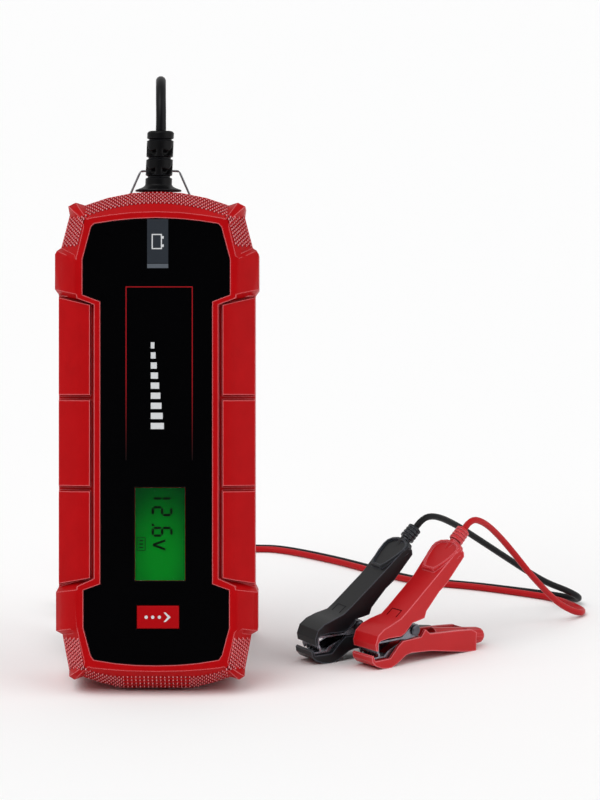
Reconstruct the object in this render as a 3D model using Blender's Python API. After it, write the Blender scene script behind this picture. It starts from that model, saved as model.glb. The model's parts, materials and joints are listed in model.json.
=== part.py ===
"""Car battery charger with its mains lead and its two battery leads, as an assembly of separate pieces.

The housing stands on the sloping rear facet of its bottom end and leans back. Its own frame is
(across, depth, up): across is world X, depth is 0 on the parting plane and grows to the rear, and up
runs along the face from the bottom end. Each clamp's frame is (along, side, up) from its pivot.
Every size is in millimetres; finish() and tube() turn them to metres.
"""

from math import cos, pi, radians, sin, tan

import bmesh
import bpy
from mathutils import Vector

MM = 0.001
GAP = 0.3

# Housing
LEAN = radians(11)
LENGTH = 220.0
HALF_WIDTH = 45.15
WAIST = 43.5
PART_GAP = 0.15
BELT_FRONT = -9.5
CREST = -21.2
BACK = 30.0
FACET_DEPTH = 24.0
WALL = 2.6
PANEL_FLOOR = -19.6
PANEL_BACK = -19.9
PANEL_FRONT = -20.9
CAVITY_FRONT = -16.8
CAVITY_BACK = 27.4

# Display and button, as (across, up) centres and (width, height) sizes on the face
DISPLAY_CENTRE = (1.7, 68.4)
DISPLAY_SIZE = (22.5, 41.4)
BUTTON_CENTRE = (0.8, 31.8)
BUTTON_SIZE = (19.2, 10.7)
BUTTON_PROUD = 0.9

# Fastening
SCREW_SPOTS = [(-32.0, 196.0), (32.0, 196.0), (-33.5, 108.5), (33.5, 108.5), (-32.0, 24.0), (32.0, 24.0)]
BOSS_RADIUS = 4.0
SHANK_RADIUS = 1.3
HEAD_RADIUS = 2.8
SCREW_SEAT = 8.0

# Electronics: boxes by their lowest and highest corners, and turned parts by their (radius, along)
BOARD_POSTS = ((-14.2, 25.5), (17.2, 25.5), (-14.2, 94.5), (17.2, 94.5))
BOARD_LUGS = ((-22, 20), (22, 74), (-22, 172), (22, 172))
BOXED_PARTS = {
    "control_board": ("board", (-16.5, -10.0, 22.0), (19.5, -8.4, 97.0)),
    "power_board": ("board", (-26.5, 19.0, 14.0), (26.5, 20.6, 178.0)),
    "output_relay": ("relay_blue", (4.5, 3.0, 57.0), (23.5, 18.7, 72.5)),
    "power_transistor": ("ferrite", (-5.0, 4.0, 131.0), (5.0, 18.7, 135.5)),
    "rectifier_bridge": ("ferrite", (3.0, 4.7, 98.0), (18.0, 18.7, 102.0)),
}
TURNED_PARTS = {
    "bulk_capacitor": ("black_abs", [(7.4, 0), (8, 0.7), (8, 27.3), (7.4, 28)], (16.5, 10.2, 20), (0, 0, 1)),
    "output_capacitor": ("black_abs", [(4.6, 0), (5, 0.5), (5, 20)], (-16, -1.3, 94), (0, 1, 0)),
    "mains_fuse": ("steel", [(2.6, 0), (2.6, 5), (2.3, 5), (2.3, 15), (2.6, 15), (2.6, 20)],
                   (-10, 15.7, 160), (1, 0, 0)),
}
BOARD_FACE = 18.7
TRANSFORMER = (-9.0, 38.0)
CORE_SIZE = (30.0, 24.0, 22.0)
LEG_HALF = 4.7
WINDOW_REACH = 11.0
CORE_YOKE = 4.0
WINDING_HALF = 15.0
CHOKE_AT = (-14, 72)
CHOKE_RADIUS = 10.0
CHOKE_HOLE = 4.5
CHOKE_HEIGHT = 8.7
FIN_PITCH = 6.0
FIN_WIDTH = 1.6
FIN_COUNT = 8
FIN_TIP = 2.0
FIN_ROOT = 15.2
SINK_SPAN = (-106.0, -130.0)

# Hanging bail
BAIL_AXIS = (31.6, 209.0)
BAIL_WIRE = 1.0
BAIL_ARM = 22.1
BAIL_TOP_HALF = 8.8
BAIL_FOOT_HALF = 18.3
BAIL_TIP_HALF = 23.0

# Mains lead
MAINS = 4.6
MAINS_AXIS = 0.3
RELIEF_BASE = 221.0
RELIEF_TOP = 247.3
RELIEF_LEAN = 0.04
RELIEF_RADIUS = 5.95
RELIEF_NOTCH = 5.0
MAINS_COIL_CENTRE = (-5.0, 74.0)
MAINS_COIL_RADIUS = 36.0
MAINS_TURNS_IN = 3

# Battery leads
LEAD = 3.0
LEAD_SPACING = 3.5
GLAND = (26.0, 40.0)
GLAND_END = 44.0
LEAD_COIL_CENTRE = (-4.0, 229.0)
LEAD_COIL_RADIUS = 33.0
LEAD_TURNS_IN = 2

# Clamps
CLAMP_HEADINGS = {"red": radians(39), "black": radians(31.5)}
CLAMP_PIVOTS = {"red": (111.4, 47.4), "black": (86.8, 55.4)}
PIVOT_ALONG = 16.2
PIVOT_UP = 15.2
GRIP_HALF = 7.0
NOSE_HALF = 8.0
END_HALF = 9.0
CHANNEL_HALF = 5.55
PIN_RADIUS = 1.5
SPRING_RADIUS = 3.3
SPRING_WIRE = 1.2
SHEET = 0.8
WEB_SHORT = 0.2
TOOTH_DEPTH = 1.7
BOOT_SLOPE = radians(43)
BOOT_BASE = (46.0, 51.3)
BOOT_LENGTH = 6.8
NECK_RADIUS = 2.5
NECK_LENGTH = 7.5
BARREL_RADIUS = 3.9
BARREL_AXIS = ((31.5, 9.0), (58.9, 4.9))

FINISHES = {
    "red_abs": ((0.62, 0.012, 0.018), 0.45, 0.0),
    "black_abs": ((0.012, 0.012, 0.014), 0.4, 0.0),
    "gloss_black": ((0.004, 0.004, 0.005), 0.12, 0.0),
    "clear": ((0.05, 0.09, 0.06), 0.05, 0.0),
    "display": ((0.05, 0.45, 0.12), 0.3, 0.0),
    "button_red": ((0.55, 0.01, 0.015), 0.4, 0.0),
    "cord_black": ((0.008, 0.008, 0.01), 0.5, 0.0),
    "cord_red": ((0.58, 0.01, 0.015), 0.4, 0.0),
    "steel": ((0.55, 0.55, 0.56), 0.3, 1.0),
    "brass": ((0.6, 0.45, 0.2), 0.3, 1.0),
    "board": ((0.03, 0.16, 0.06), 0.5, 0.0),
    "ferrite": ((0.04, 0.04, 0.045), 0.7, 0.0),
    "copper": ((0.5, 0.2, 0.08), 0.35, 1.0),
    "aluminium": ((0.6, 0.6, 0.62), 0.35, 1.0),
    "relay_blue": ((0.03, 0.1, 0.4), 0.4, 0.0),
}


# Scene and objects


def clear_scene():
    for thing in list(bpy.data.objects):
        bpy.data.objects.remove(thing, do_unlink=True)


def surface(name, finish_name):
    colour, roughness, metallic = FINISHES[finish_name]
    made = bpy.data.materials.new(name + "_surface")
    made.use_nodes = True
    shader = made.node_tree.nodes["Principled BSDF"]
    shader.inputs["Base Color"].default_value = (*colour, 1.0)
    shader.inputs["Roughness"].default_value = roughness
    shader.inputs["Metallic"].default_value = metallic
    return made


def frame_empty(name, place, turn):
    empty = bpy.data.objects.new(name, None)
    empty.empty_display_size = 0.01
    empty.location = Vector(place) * MM
    empty.rotation_euler = turn
    bpy.context.scene.collection.objects.link(empty)
    return empty


def finish(bm, name, finish_name, parent=None, place=(0.0, 0.0, 0.0)):
    """Turns a bmesh in millimetres into an object whose origin is at place in its parent's frame."""
    bmesh.ops.recalc_face_normals(bm, faces=bm.faces)
    bmesh.ops.connect_verts_nonplanar(bm, angle_limit=radians(0.05), faces=bm.faces)
    bmesh.ops.translate(bm, verts=bm.verts, vec=-Vector(place))
    bmesh.ops.scale(bm, verts=bm.verts, vec=(MM, MM, MM))
    mesh = bpy.data.meshes.new(name)
    bm.to_mesh(mesh)
    bm.free()
    mesh.shade_smooth()
    mesh.set_sharp_from_angle(angle=radians(32))
    mesh.materials.append(surface(name, finish_name))
    made = bpy.data.objects.new(name, mesh)
    made.parent = parent
    made.location = Vector(place) * MM
    bpy.context.scene.collection.objects.link(made)
    return made


def combine(thing, bm, operation, label):
    """Adds a Boolean whose other operand is a hidden helper made from bm, in the same frame."""
    helper = finish(bm, f"{thing.name}_{label}", "steel", thing.parent)
    helper.hide_render = True
    helper.display_type = "WIRE"
    modifier = thing.modifiers.new(label, "BOOLEAN")
    modifier.operation = operation
    modifier.solver = "EXACT"
    modifier.object = helper


def carve(thing, bm, label):
    combine(thing, bm, "DIFFERENCE", label)


def unite(thing, bm, label):
    combine(thing, bm, "UNION", label)


# Shapes added to a bmesh


def add_loft(bm, rings):
    """A closed skin through rings of equally many points, with a face over each end."""
    rows = [[bm.verts.new(point) for point in ring] for ring in rings]
    count = len(rows[0])
    for row, following in zip(rows, rows[1:]):
        for i in range(count):
            j = (i + 1) % count
            bm.faces.new((row[i], row[j], following[j], following[i]))
    bm.faces.new(rows[0])
    bm.faces.new(rows[-1])


def add_prism(bm, outline, near, far, across=(1, 0, 0), up=(0, 0, 1), origin=(0, 0, 0)):
    """An outline of (across, up) points, extruded along up x across from near to far."""
    across, up, origin = Vector(across).normalized(), Vector(up).normalized(), Vector(origin)
    along = up.cross(across)
    flat = [origin + across * a + up * b for a, b in outline]
    add_loft(bm, [[point + along * step for point in flat] for step in (near, far)])


def add_box(bm, low, high):
    outline = [(low[0], low[2]), (high[0], low[2]), (high[0], high[2]), (low[0], high[2])]
    add_prism(bm, outline, low[1], high[1])


def add_turned(bm, profile, at, toward, sides=16):
    """A solid turned about the line from at along toward: profile holds (radius, distance along)."""
    turn = Vector(toward).normalized().to_track_quat("Z", "Y").to_matrix()
    rings = []
    for radius, along in profile:
        angles = [2 * pi * i / sides for i in range(sides)]
        rings.append([Vector(at) + turn @ Vector((radius * cos(a), radius * sin(a), along)) for a in angles])
    add_loft(bm, rings)


def rectangle(centre, size, margin=0.0):
    half_width, half_height = size[0] / 2 + margin, size[1] / 2 + margin
    a, b = centre
    return [
        (a - half_width, b - half_height),
        (a + half_width, b - half_height),
        (a + half_width, b + half_height),
        (a - half_width, b + half_height),
    ]


# Cords


def smooth_route(points, spacing):
    """Points on the smooth curve through a route's own points, whose first and last steps stay straight."""
    points = [Vector(point) for point in points]
    fine = [points[1]]
    for p0, p1, p2, p3 in zip(points, points[1:], points[2:], points[3:]):
        for step in range(1, 13):
            t = step / 12
            linear, square = p2 - p0, 2 * p0 - 5 * p1 + 4 * p2 - p3
            cube = 3 * p1 - p0 - 3 * p2 + p3
            fine.append(p1 + (linear * t + square * t**2 + cube * t**3) / 2)
    lengths = [0.0]
    for one, other in zip(fine, fine[1:]):
        lengths.append(lengths[-1] + (other - one).length)
    count = max(2, round(lengths[-1] / spacing))
    out, k = [points[0]], 0
    for i in range(count + 1):
        wanted = lengths[-1] * i / count
        while k < len(fine) - 2 and lengths[k + 1] < wanted:
            k += 1
        share = (wanted - lengths[k]) / (lengths[k + 1] - lengths[k])
        out.append(fine[k].lerp(fine[k + 1], min(share, 1.0)))
    return out + [points[-1]]


def beside(points, offset):
    """The points moved sideways by offset, to the left of the way they run, in plan."""
    points = [Vector(point) for point in points]
    out = []
    for i, point in enumerate(points):
        way = points[min(i + 1, len(points) - 1)] - points[max(i - 1, 0)]
        left = Vector((-way.y, way.x, 0)).normalized()
        out.append(point + left * offset)
    return out


def straight_from(point, way):
    """The first points of a cord that leaves a face squarely, a gap away from it."""
    return [Vector(point) + Vector(way).normalized() * step for step in (GAP, 3.2, 6.4)]


def path_length(points):
    return sum((Vector(b) - Vector(a)).length for a, b in zip(points, points[1:]))


def coil_path(centre, radius, turns_in, start, spin, low_first, base, diameter, pitch, offset=0.0):
    """Spirals in on one layer, changes layer in half a turn, and spirals out on the other."""
    rise = diameter + 0.5
    steps_in, steps_turn = 24 * turns_in, 12
    total = 2 * steps_in + steps_turn
    inner = radius - pitch * turns_in
    out = []
    for i in range(total + 1):
        angle = start + spin * 2 * pi * i / 24
        if i <= steps_in:
            reach, level = radius - pitch * i / 24, 0.0
        elif i < steps_in + steps_turn:
            share = (i - steps_in) / steps_turn
            reach, level = inner - 0.25 * pitch * sin(pi * share), (1 - cos(pi * share)) / 2
        else:
            reach, level = inner + pitch * (i - steps_in - steps_turn) / 24, 1.0
        height = base + rise * (level if low_first else 1 - level)
        reach += offset
        out.append(Vector((centre[0] + reach * cos(angle), centre[1] + reach * sin(angle), height)))
    first = Vector((-sin(start), cos(start), 0)) * spin
    last_angle = start + spin * 2 * pi * total / 24
    last = Vector((-sin(last_angle), cos(last_angle), 0)) * spin
    return [out[0] - first * diameter, *out, out[-1] + last * diameter]


def least_gap(points, diameter):
    """The least clear distance between stretches of one tube that aren't neighbours."""
    reach = [0.0]
    for a, b in zip(points, points[1:]):
        reach.append(reach[-1] + (b - a).length)
    least = 1e9
    for i in range(len(points)):
        for j in range(i + 1, len(points)):
            if reach[j] - reach[i] > 4 * diameter:
                least = min(least, (points[i] - points[j]).length)
    return least - diameter


def tube(name, points, diameter, finish_name, resolution=2, parent=None, place=(0.0, 0.0, 0.0)):
    curve = bpy.data.curves.new(name, "CURVE")
    curve.dimensions = "3D"
    curve.bevel_depth = diameter / 2 * MM
    curve.bevel_resolution = resolution
    curve.use_fill_caps = True
    spline = curve.splines.new("POLY")
    spline.points.add(len(points) - 1)
    for knot, point in zip(spline.points, points):
        knot.co = (*((Vector(point) - Vector(place)) * MM), 1.0)
    curve.materials.append(surface(name, finish_name))
    made = bpy.data.objects.new(name, curve)
    made.parent = parent
    made.location = Vector(place) * MM
    bpy.context.scene.collection.objects.link(made)
    return made


# Housing outline: for each station, going down the right side, its point on the parting plane, the
# point that faces it on the rim's outer edge, and how the surface between them runs.

HALF_STATIONS = [
    ((0, 220.0), (0, 210.6), "band"),
    ((11, 219.3), (10.8, 210.2), "band"),
    ((22, 217.1), (20.6, 209.1), "band"),
    ((31.9, 213.8), (28.8, 207.8), "band"),
    ((35.9, 214.9), (30.5, 207.2), "ridge"),
    ((39.2, 213.2), (31.5, 206.0), "ridge"),
    ((38.7, 209.4), (32.0, 203.9), "band"),
    ((40.6, 202.0), (33.6, 197.3), "band"),
    ((42.5, 194.9), (35.1, 191.0), "band"),
    ((44.3, 193.6), (35.3, 189.4), "belt"),
    ((45.15, 192.0), (35.3, 187.8), "belt"),
    ((45.15, 176.5), (35.3, 174.1), "belt"),
    ((43.6, 174.3), (35.0, 172.4), "groove"),
    ((43.5, 173.5), (27.4, 169.6), "groove"),
    ((43.5, 172.9), (27.4, 168.9), "pad"),
    ((43.5, 129.9), (27.4, 129.9), "pad"),
    ((43.5, 129.3), (27.4, 129.3), "groove"),
    ((43.5, 127.9), (27.4, 127.9), "groove"),
    ((43.5, 127.3), (27.4, 127.3), "pad"),
    ((43.5, 89.7), (27.4, 89.7), "pad"),
    ((43.5, 89.1), (27.4, 89.1), "groove"),
    ((43.5, 87.7), (27.4, 87.7), "groove"),
    ((43.5, 87.1), (27.4, 87.1), "pad"),
    ((43.5, 46.3), (27.4, 49.4), "pad"),
    ((43.5, 45.7), (27.4, 48.8), "groove"),
    ((43.6, 44.6), (34.8, 45.4), "groove"),
    ((44.7, 42.4), (35.0, 43.9), "belt"),
    ((44.7, 25.3), (35.0, 27.0), "belt"),
    ((41.9, 23.6), (34.5, 24.9), "band"),
    ((40.4, 15.5), (33.0, 17.7), "band"),
    ((38.9, 7.6), (31.6, 12.0), "band"),
    ((38.8, 5.2), (31.0, 10.8), "ridge"),
    ((36.4, 3.7), (30.0, 9.9), "ridge"),
    ((32.8, 4.9), (28.1, 9.4), "band"),
    ((24.0, 2.0), (20.0, 8.6), "band"),
    ((15.0, 0.0), (12.6, 8.1), "band"),
]
BOTTOM_STATION = ((0, 0.0), (0, 7.8), "band")

# How far each line of the skin lies from the outline (0) to the rim (1), and its depth there
SECTIONS = {
    "band": [(0, -9.5), (0.3, -13.2), (0.5, -15.6), (0.7, -17.9), (0.86, -19.7), (1, CREST)],
    "belt": [(0, -11.5), (0.3, -15.4), (0.5, -17.6), (0.7, -19.2), (0.86, -20.4), (1, CREST)],
    "ridge": [(0, -13.0), (0.3, -16.6), (0.5, -18.4), (0.7, -19.9), (0.86, -20.8), (1, CREST)],
    "groove": [(0, -9.0), (0.54, -14.8), (0.7, -16.4), (0.9, -17.6), (0.98, -17.8), (1, CREST)],
    "pad": [(0, -11.2), (0.54, -19.2), (0.88, -20.4), (0.9, -17.6), (0.98, -17.8), (1, CREST)],
}

PANEL_HALF = [
    (0, 207.9),
    (10.0, 207.5),
    (19.0, 206.6),
    (27.4, 205.3),
    (28.8, 203.8),
    (32.6, 189.6),
    (32.6, 173.9),
    (24.75, 170.9),
    (24.75, 46.4),
    (32.2, 43.7),
    (32.2, 27.0),
    (29.0, 15.0),
    (27.6, 12.9),
    (18.4, 11.4),
    (9.2, 10.6),
    (0, 10.4),
]


def mirrored(half):
    """A whole loop from the right half, whose first and last points lie on the middle line."""
    left = [(-a, b) for a, b in reversed(half[1:-1])]
    return list(half) + left


def drawn_in(outline, margin):
    """A clockwise outline with each side moved inward by margin and its corners mitred."""
    out = []
    for i, point in enumerate(outline):
        before, after = Vector(outline[i - 1]), Vector(outline[(i + 1) % len(outline)])
        first, second = (Vector(point) - before).normalized(), (after - Vector(point)).normalized()
        normals = Vector((first.y, -first.x)) + Vector((second.y, -second.x))
        out.append(Vector(point) + normals * (2 * margin / normals.length_squared))
    return [tuple(point) for point in out]


def all_stations():
    """Every station round the outline, with those of the left half mirrored."""
    half = HALF_STATIONS + [BOTTOM_STATION]
    left = [((-a, b), (-c, d), kind) for (a, b), (c, d), kind in reversed(half[1:-1])]
    return half + left


def outline_ring(depth, inset=0.0):
    """The outline at a depth, drawn in, with its bottom end following the facet it stands on."""
    ring = []
    middle = LENGTH / 2
    for (a, b), _, _ in all_stations():
        across = a * (1 - inset / HALF_WIDTH)
        up = middle + (b - middle) * (1 - inset / middle)
        share = max(0.0, 1 - up / 24.0)
        ring.append(Vector((across, depth, up + max(depth, 0.0) * tan(LEAN) * share)))
    return ring


def skin_ring(line):
    ring = []
    for (a, b), (c, d), kind in all_stations():
        share, depth = SECTIONS[kind][line]
        ring.append(Vector((a + (c - a) * share, depth, b + (d - b) * share)))
    return ring


def cavity_ring(share, depth):
    return [
        Vector((a + (c - a) * share, depth, b + (d - b) * share)) for (a, b), (c, d), _ in all_stations()
    ]


def boss_shapes(near, far):
    bm = bmesh.new()
    for a, b in SCREW_SPOTS:
        add_turned(bm, [(BOSS_RADIUS, near), (BOSS_RADIUS, far)], (a, 0, b), (0, 1, 0), 10)
    return bm


def bore_shapes(profile):
    bm = bmesh.new()
    for a, b in SCREW_SPOTS:
        add_turned(bm, profile, (a, 0, b), (0, 1, 0), 10)
    return bm


def relief_opening():
    """The round hole for the mains relief, half in each shell."""
    bm = bmesh.new()
    add_turned(bm, [(5.6, 205.0), (5.6, 230.0)], (MAINS_AXIS, 0, 0), (0, 0, 1), 14)
    return bm


def front_shell(body):
    bm = bmesh.new()
    add_loft(bm, [outline_ring(-PART_GAP)] + [skin_ring(line) for line in range(6)])
    shell = finish(bm, "front_shell", "red_abs", body)
    hollow = bmesh.new()
    add_loft(hollow, [cavity_ring(0.2, 2.0), cavity_ring(0.2, -8.0), cavity_ring(1.15, CAVITY_FRONT)])
    carve(shell, hollow, "hollow")
    unite(shell, boss_shapes(-14.0, -0.6), "bosses")
    carve(shell, bore_shapes([(SHANK_RADIUS + GAP, -11.0), (SHANK_RADIUS + GAP, 3.0)]), "pilots")
    posts = bmesh.new()
    for a, b in BOARD_POSTS:
        add_turned(posts, [(1.8, CAVITY_FRONT - 0.8), (1.8, -10.3)], (a, 0, b), (0, 1, 0), 8)
    unite(shell, posts, "board_posts")
    recess = bmesh.new()
    add_prism(recess, mirrored(PANEL_HALF), CREST - 3, PANEL_FLOOR)
    carve(shell, recess, "panel_recess")
    openings = bmesh.new()
    add_prism(openings, rectangle(DISPLAY_CENTRE, DISPLAY_SIZE, -1.05), CREST, -12)
    add_prism(openings, rectangle(BUTTON_CENTRE, BUTTON_SIZE, 0.3), CREST, -12)
    carve(shell, openings, "openings")
    carve(shell, relief_opening(), "relief_hole")
    return shell


def rear_shell(body):
    bm = bmesh.new()
    rings = [outline_ring(PART_GAP), outline_ring(FACET_DEPTH), outline_ring(28.0, 2.4), outline_ring(BACK, 5.6)]
    add_loft(bm, rings)
    shell = finish(bm, "rear_shell", "red_abs", body)
    hollow = bmesh.new()
    rings = [outline_ring(-2.0, WALL), outline_ring(FACET_DEPTH - 1, WALL), outline_ring(CAVITY_BACK, 7.4)]
    add_loft(hollow, rings)
    carve(shell, hollow, "hollow")
    bosses = boss_shapes(0.6, 28.2)
    for a, b in BOARD_LUGS:
        add_turned(bosses, [(2.4, 20.9), (2.4, 28.2)], (a, 0, b), (0, 1, 0), 8)
    unite(shell, bosses, "bosses")
    shank, head = SHANK_RADIUS + GAP, HEAD_RADIUS + GAP
    bores = bore_shapes([(shank, -3.0), (shank, SCREW_SEAT), (head, SCREW_SEAT), (head, BACK + 3)])
    carve(shell, bores, "screw_bores")
    lugs = bmesh.new()
    for side in (-1, 1):
        low, high = sorted((side * 20.2, side * 23.4))
        add_box(lugs, (low, 28.4, BAIL_AXIS[1] - 2.2), (high, 33.6, BAIL_AXIS[1] + 2.2))
    unite(shell, lugs, "bail_lugs")
    holes = bmesh.new()
    for side in (-1, 1):
        profile = [(BAIL_WIRE / 2 + GAP, 19.0), (BAIL_WIRE / 2 + GAP, 24.5)]
        add_turned(holes, profile, (0, *BAIL_AXIS), (side, 0, 0), 10)
    add_turned(holes, [(4.3, 24.0), (4.3, 33.0)], (GLAND[0], 0, GLAND[1]), (0, 1, 0), 12)
    carve(shell, holes, "bail_and_gland_holes")
    carve(shell, relief_opening(), "relief_hole")
    return shell


def front_panel(body):
    bm = bmesh.new()
    add_prism(bm, drawn_in(mirrored(PANEL_HALF), GAP), PANEL_FRONT, PANEL_BACK)
    panel = finish(bm, "front_panel", "gloss_black", body)
    windows = bmesh.new()
    add_prism(windows, rectangle(DISPLAY_CENTRE, DISPLAY_SIZE), CREST, CAVITY_FRONT)
    add_prism(windows, rectangle(BUTTON_CENTRE, BUTTON_SIZE), CREST, CAVITY_FRONT)
    carve(panel, windows, "windows")


def display_pieces(body):
    bm = bmesh.new()
    add_prism(bm, rectangle(DISPLAY_CENTRE, DISPLAY_SIZE, -0.3), PANEL_FRONT, PANEL_BACK)
    finish(bm, "display_window", "clear", body)
    a, b = DISPLAY_CENTRE
    bm = bmesh.new()
    rings = []
    for depth, margin in ((-19.0, -1.5), (-16.4, -1.5), (-16.4, 2.4), (-10.3, 2.4)):
        rings.append([Vector((x, depth, z)) for x, z in rectangle((a, b), DISPLAY_SIZE, margin)])
    add_loft(bm, rings)
    finish(bm, "display_module", "display", body)


def button_pieces(body):
    """The key reaches through the panel; its foot stops above the switch by more than its travel."""
    bm = bmesh.new()
    rings = []
    steps = ((PANEL_FRONT - BUTTON_PROUD, -0.7), (PANEL_FRONT - BUTTON_PROUD + 0.4, -0.3), (-16.4, -0.3))
    for depth, margin in steps + ((-16.4, 1.3), (-15.4, 1.3), (-15.4, -3.6), (-13.4, -3.6)):
        rings.append([Vector((x, depth, z)) for x, z in rectangle(BUTTON_CENTRE, BUTTON_SIZE, margin)])
    add_loft(bm, rings)
    finish(bm, "mode_button", "button_red", body, (BUTTON_CENTRE[0], -17.5, BUTTON_CENTRE[1]))
    bm = bmesh.new()
    a, b = BUTTON_CENTRE
    rings = [[Vector((x, depth, z)) for x, z in rectangle((a, b), size)]
             for depth, size in ((-12.3, (3, 3)), (-11.8, (3, 3)), (-11.8, (6, 6)), (-10.3, (6, 6)))]
    add_loft(bm, rings)
    finish(bm, "tact_switch", "steel", body)


def slab(name, finish_name, body, low, high):
    bm = bmesh.new()
    add_box(bm, low, high)
    return finish(bm, name, finish_name, body)


def transformer(body):
    """A ferrite frame with two windows, and the winding that fills them round its middle leg."""
    across, up = TRANSFORMER
    width, depth, height = CORE_SIZE
    low = (across - width / 2, BOARD_FACE - depth, up - height / 2)
    high = (across + width / 2, BOARD_FACE, up + height / 2)
    core = slab("transformer_core", "ferrite", body, low, high)
    front, rear = low[1] + CORE_YOKE, high[1] - CORE_YOKE
    windows = bmesh.new()
    for side in (-1, 1):
        near, far = sorted((across + side * LEG_HALF, across + side * WINDOW_REACH))
        add_box(windows, (near, front, low[2] - 5), (far, rear, high[2] + 5))
    carve(core, windows, "windows")
    reach, clear = WINDOW_REACH - 0.4, 0.4
    low = (across - reach, front + clear, up - WINDING_HALF)
    high = (across + reach, rear - clear, up + WINDING_HALF)
    winding = slab("transformer_winding", "copper", body, low, high)
    leg = bmesh.new()
    half, rise = LEG_HALF + clear, height / 2 + 0.5
    add_box(leg, (across - half, front - 10, up - rise), (across + half, rear + 10, up + rise))
    carve(winding, leg, "leg")


def heat_sink(body):
    """A base with upright fins, cut as one comb."""
    half = FIN_WIDTH / 2
    start = -(FIN_COUNT - 1) * FIN_PITCH / 2
    outline = [(start - half, BOARD_FACE)]
    for i in range(FIN_COUNT):
        middle = start + i * FIN_PITCH
        outline += [(middle - half, FIN_TIP), (middle + half, FIN_TIP)]
        if i < FIN_COUNT - 1:
            outline += [(middle + half, FIN_ROOT), (middle + FIN_PITCH - half, FIN_ROOT)]
    outline.append((-start + half, BOARD_FACE))
    bm = bmesh.new()
    add_prism(bm, outline, *SINK_SPAN, (1, 0, 0), (0, 1, 0))
    finish(bm, "heat_sink", "aluminium", body)


def output_choke(body):
    a, b = CHOKE_AT
    bm = bmesh.new()
    profile = [(CHOKE_RADIUS, BOARD_FACE - CHOKE_HEIGHT), (CHOKE_RADIUS, BOARD_FACE)]
    add_turned(bm, profile, (a, 0, b), (0, 1, 0), 14)
    choke = finish(bm, "output_choke", "copper", body)
    hole = bmesh.new()
    add_turned(hole, [(CHOKE_HOLE, 8), (CHOKE_HOLE, BOARD_FACE + 2)], (a, 0, b), (0, 1, 0), 10)
    carve(choke, hole, "hole")


def electronics(body):
    for name, (finish_name, low, high) in BOXED_PARTS.items():
        slab(name, finish_name, body, low, high)
    for name, (finish_name, profile, at, toward) in TURNED_PARTS.items():
        bm = bmesh.new()
        add_turned(bm, profile, at, toward, 12)
        finish(bm, name, finish_name, body)
    transformer(body)
    heat_sink(body)
    output_choke(body)


def screws(body):
    for number, (a, b) in enumerate(SCREW_SPOTS, 1):
        bm = bmesh.new()
        seat = SCREW_SEAT + GAP
        profile = [(0.5, -10.0), (SHANK_RADIUS, -8.6), (SHANK_RADIUS, seat), (HEAD_RADIUS, seat),
                   (HEAD_RADIUS, seat + 1.4), (1.9, seat + 2.1)]
        add_turned(bm, profile, (a, 0, b), (0, 1, 0), 10)
        screw = finish(bm, f"housing_screw_{number}", "steel", body)
        cross = bmesh.new()
        add_box(cross, (a - 1.5, seat + 0.9, b - 0.35), (a + 1.5, seat + 4, b + 0.35))
        carve(screw, cross, "drive_slot")


def mains_relief(body):
    """The bend relief, whose beads the cord pulls a little to one side."""
    bead, notch = RELIEF_RADIUS, RELIEF_NOTCH
    profile = [(7.2, 213.4), (7.2, 216.6), (5.2, 216.6), (5.2, 220.4), (10.2, 220.4), (10.2, 221.2),
               (7.0, 222.5), (bead, 223.2), (bead, 226.3), (notch, 226.7), (notch, 227.2), (bead, 227.5)]
    profile += [(bead, 234.6), (notch, 235.0), (notch, 235.5), (bead, 235.8), (bead, 243.0), (notch - 1, 243.3),
                (notch - 1, 243.7), (bead, 243.9), (bead, 246.5), (bead - 0.9, RELIEF_TOP)]
    bm = bmesh.new()
    add_turned(bm, profile, (MAINS_AXIS, 0, 0), (0, 0, 1), 14)
    for vert in bm.verts:
        vert.co.x += RELIEF_LEAN * max(0.0, vert.co.z - RELIEF_BASE)
    finish(bm, "mains_relief", "cord_black", body)


def lead_relief(body):
    profile = [(5.6, 24.6), (5.6, 27.0), (4.0, 27.0), (4.0, 30.4), (6.2, 30.4), (6.2, 31.6), (5.3, 32.4),
               (5.0, 36.0), (4.4, 36.3), (4.4, 36.9), (4.9, 37.2), (4.6, 41.0), (4.0, GLAND_END)]
    bm = bmesh.new()
    add_turned(bm, profile, (GLAND[0], 0, GLAND[1]), (0, 1, 0), 10)
    finish(bm, "lead_relief", "cord_black", body)


def bail_wire(body):
    """A bent wire that turns in two lugs at the rear and stands up behind the mains relief."""
    depth, low = BAIL_AXIS
    top = low + BAIL_ARM
    right = [(BAIL_TIP_HALF, low), (BAIL_FOOT_HALF + 0.9, low), (BAIL_FOOT_HALF + 0.2, low + 0.3),
             (BAIL_FOOT_HALF - 0.3, low + 1.1), (BAIL_TOP_HALF + 0.4, top - 1.2),
             (BAIL_TOP_HALF, top - 0.4), (BAIL_TOP_HALF - 0.8, top)]
    points = right + [(-a, b) for a, b in reversed(right)]
    route = [(a, depth, b) for a, b in points]
    axis = frame_empty("bail_axis", (0, *BAIL_AXIS), (0, 0, 0))
    axis.parent = body
    moved = [(a, d - BAIL_AXIS[0], b - BAIL_AXIS[1]) for a, d, b in route]
    tube("bail_wire", moved, BAIL_WIRE, "steel", 2, axis)


# Mains lead, in world millimetres

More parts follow.
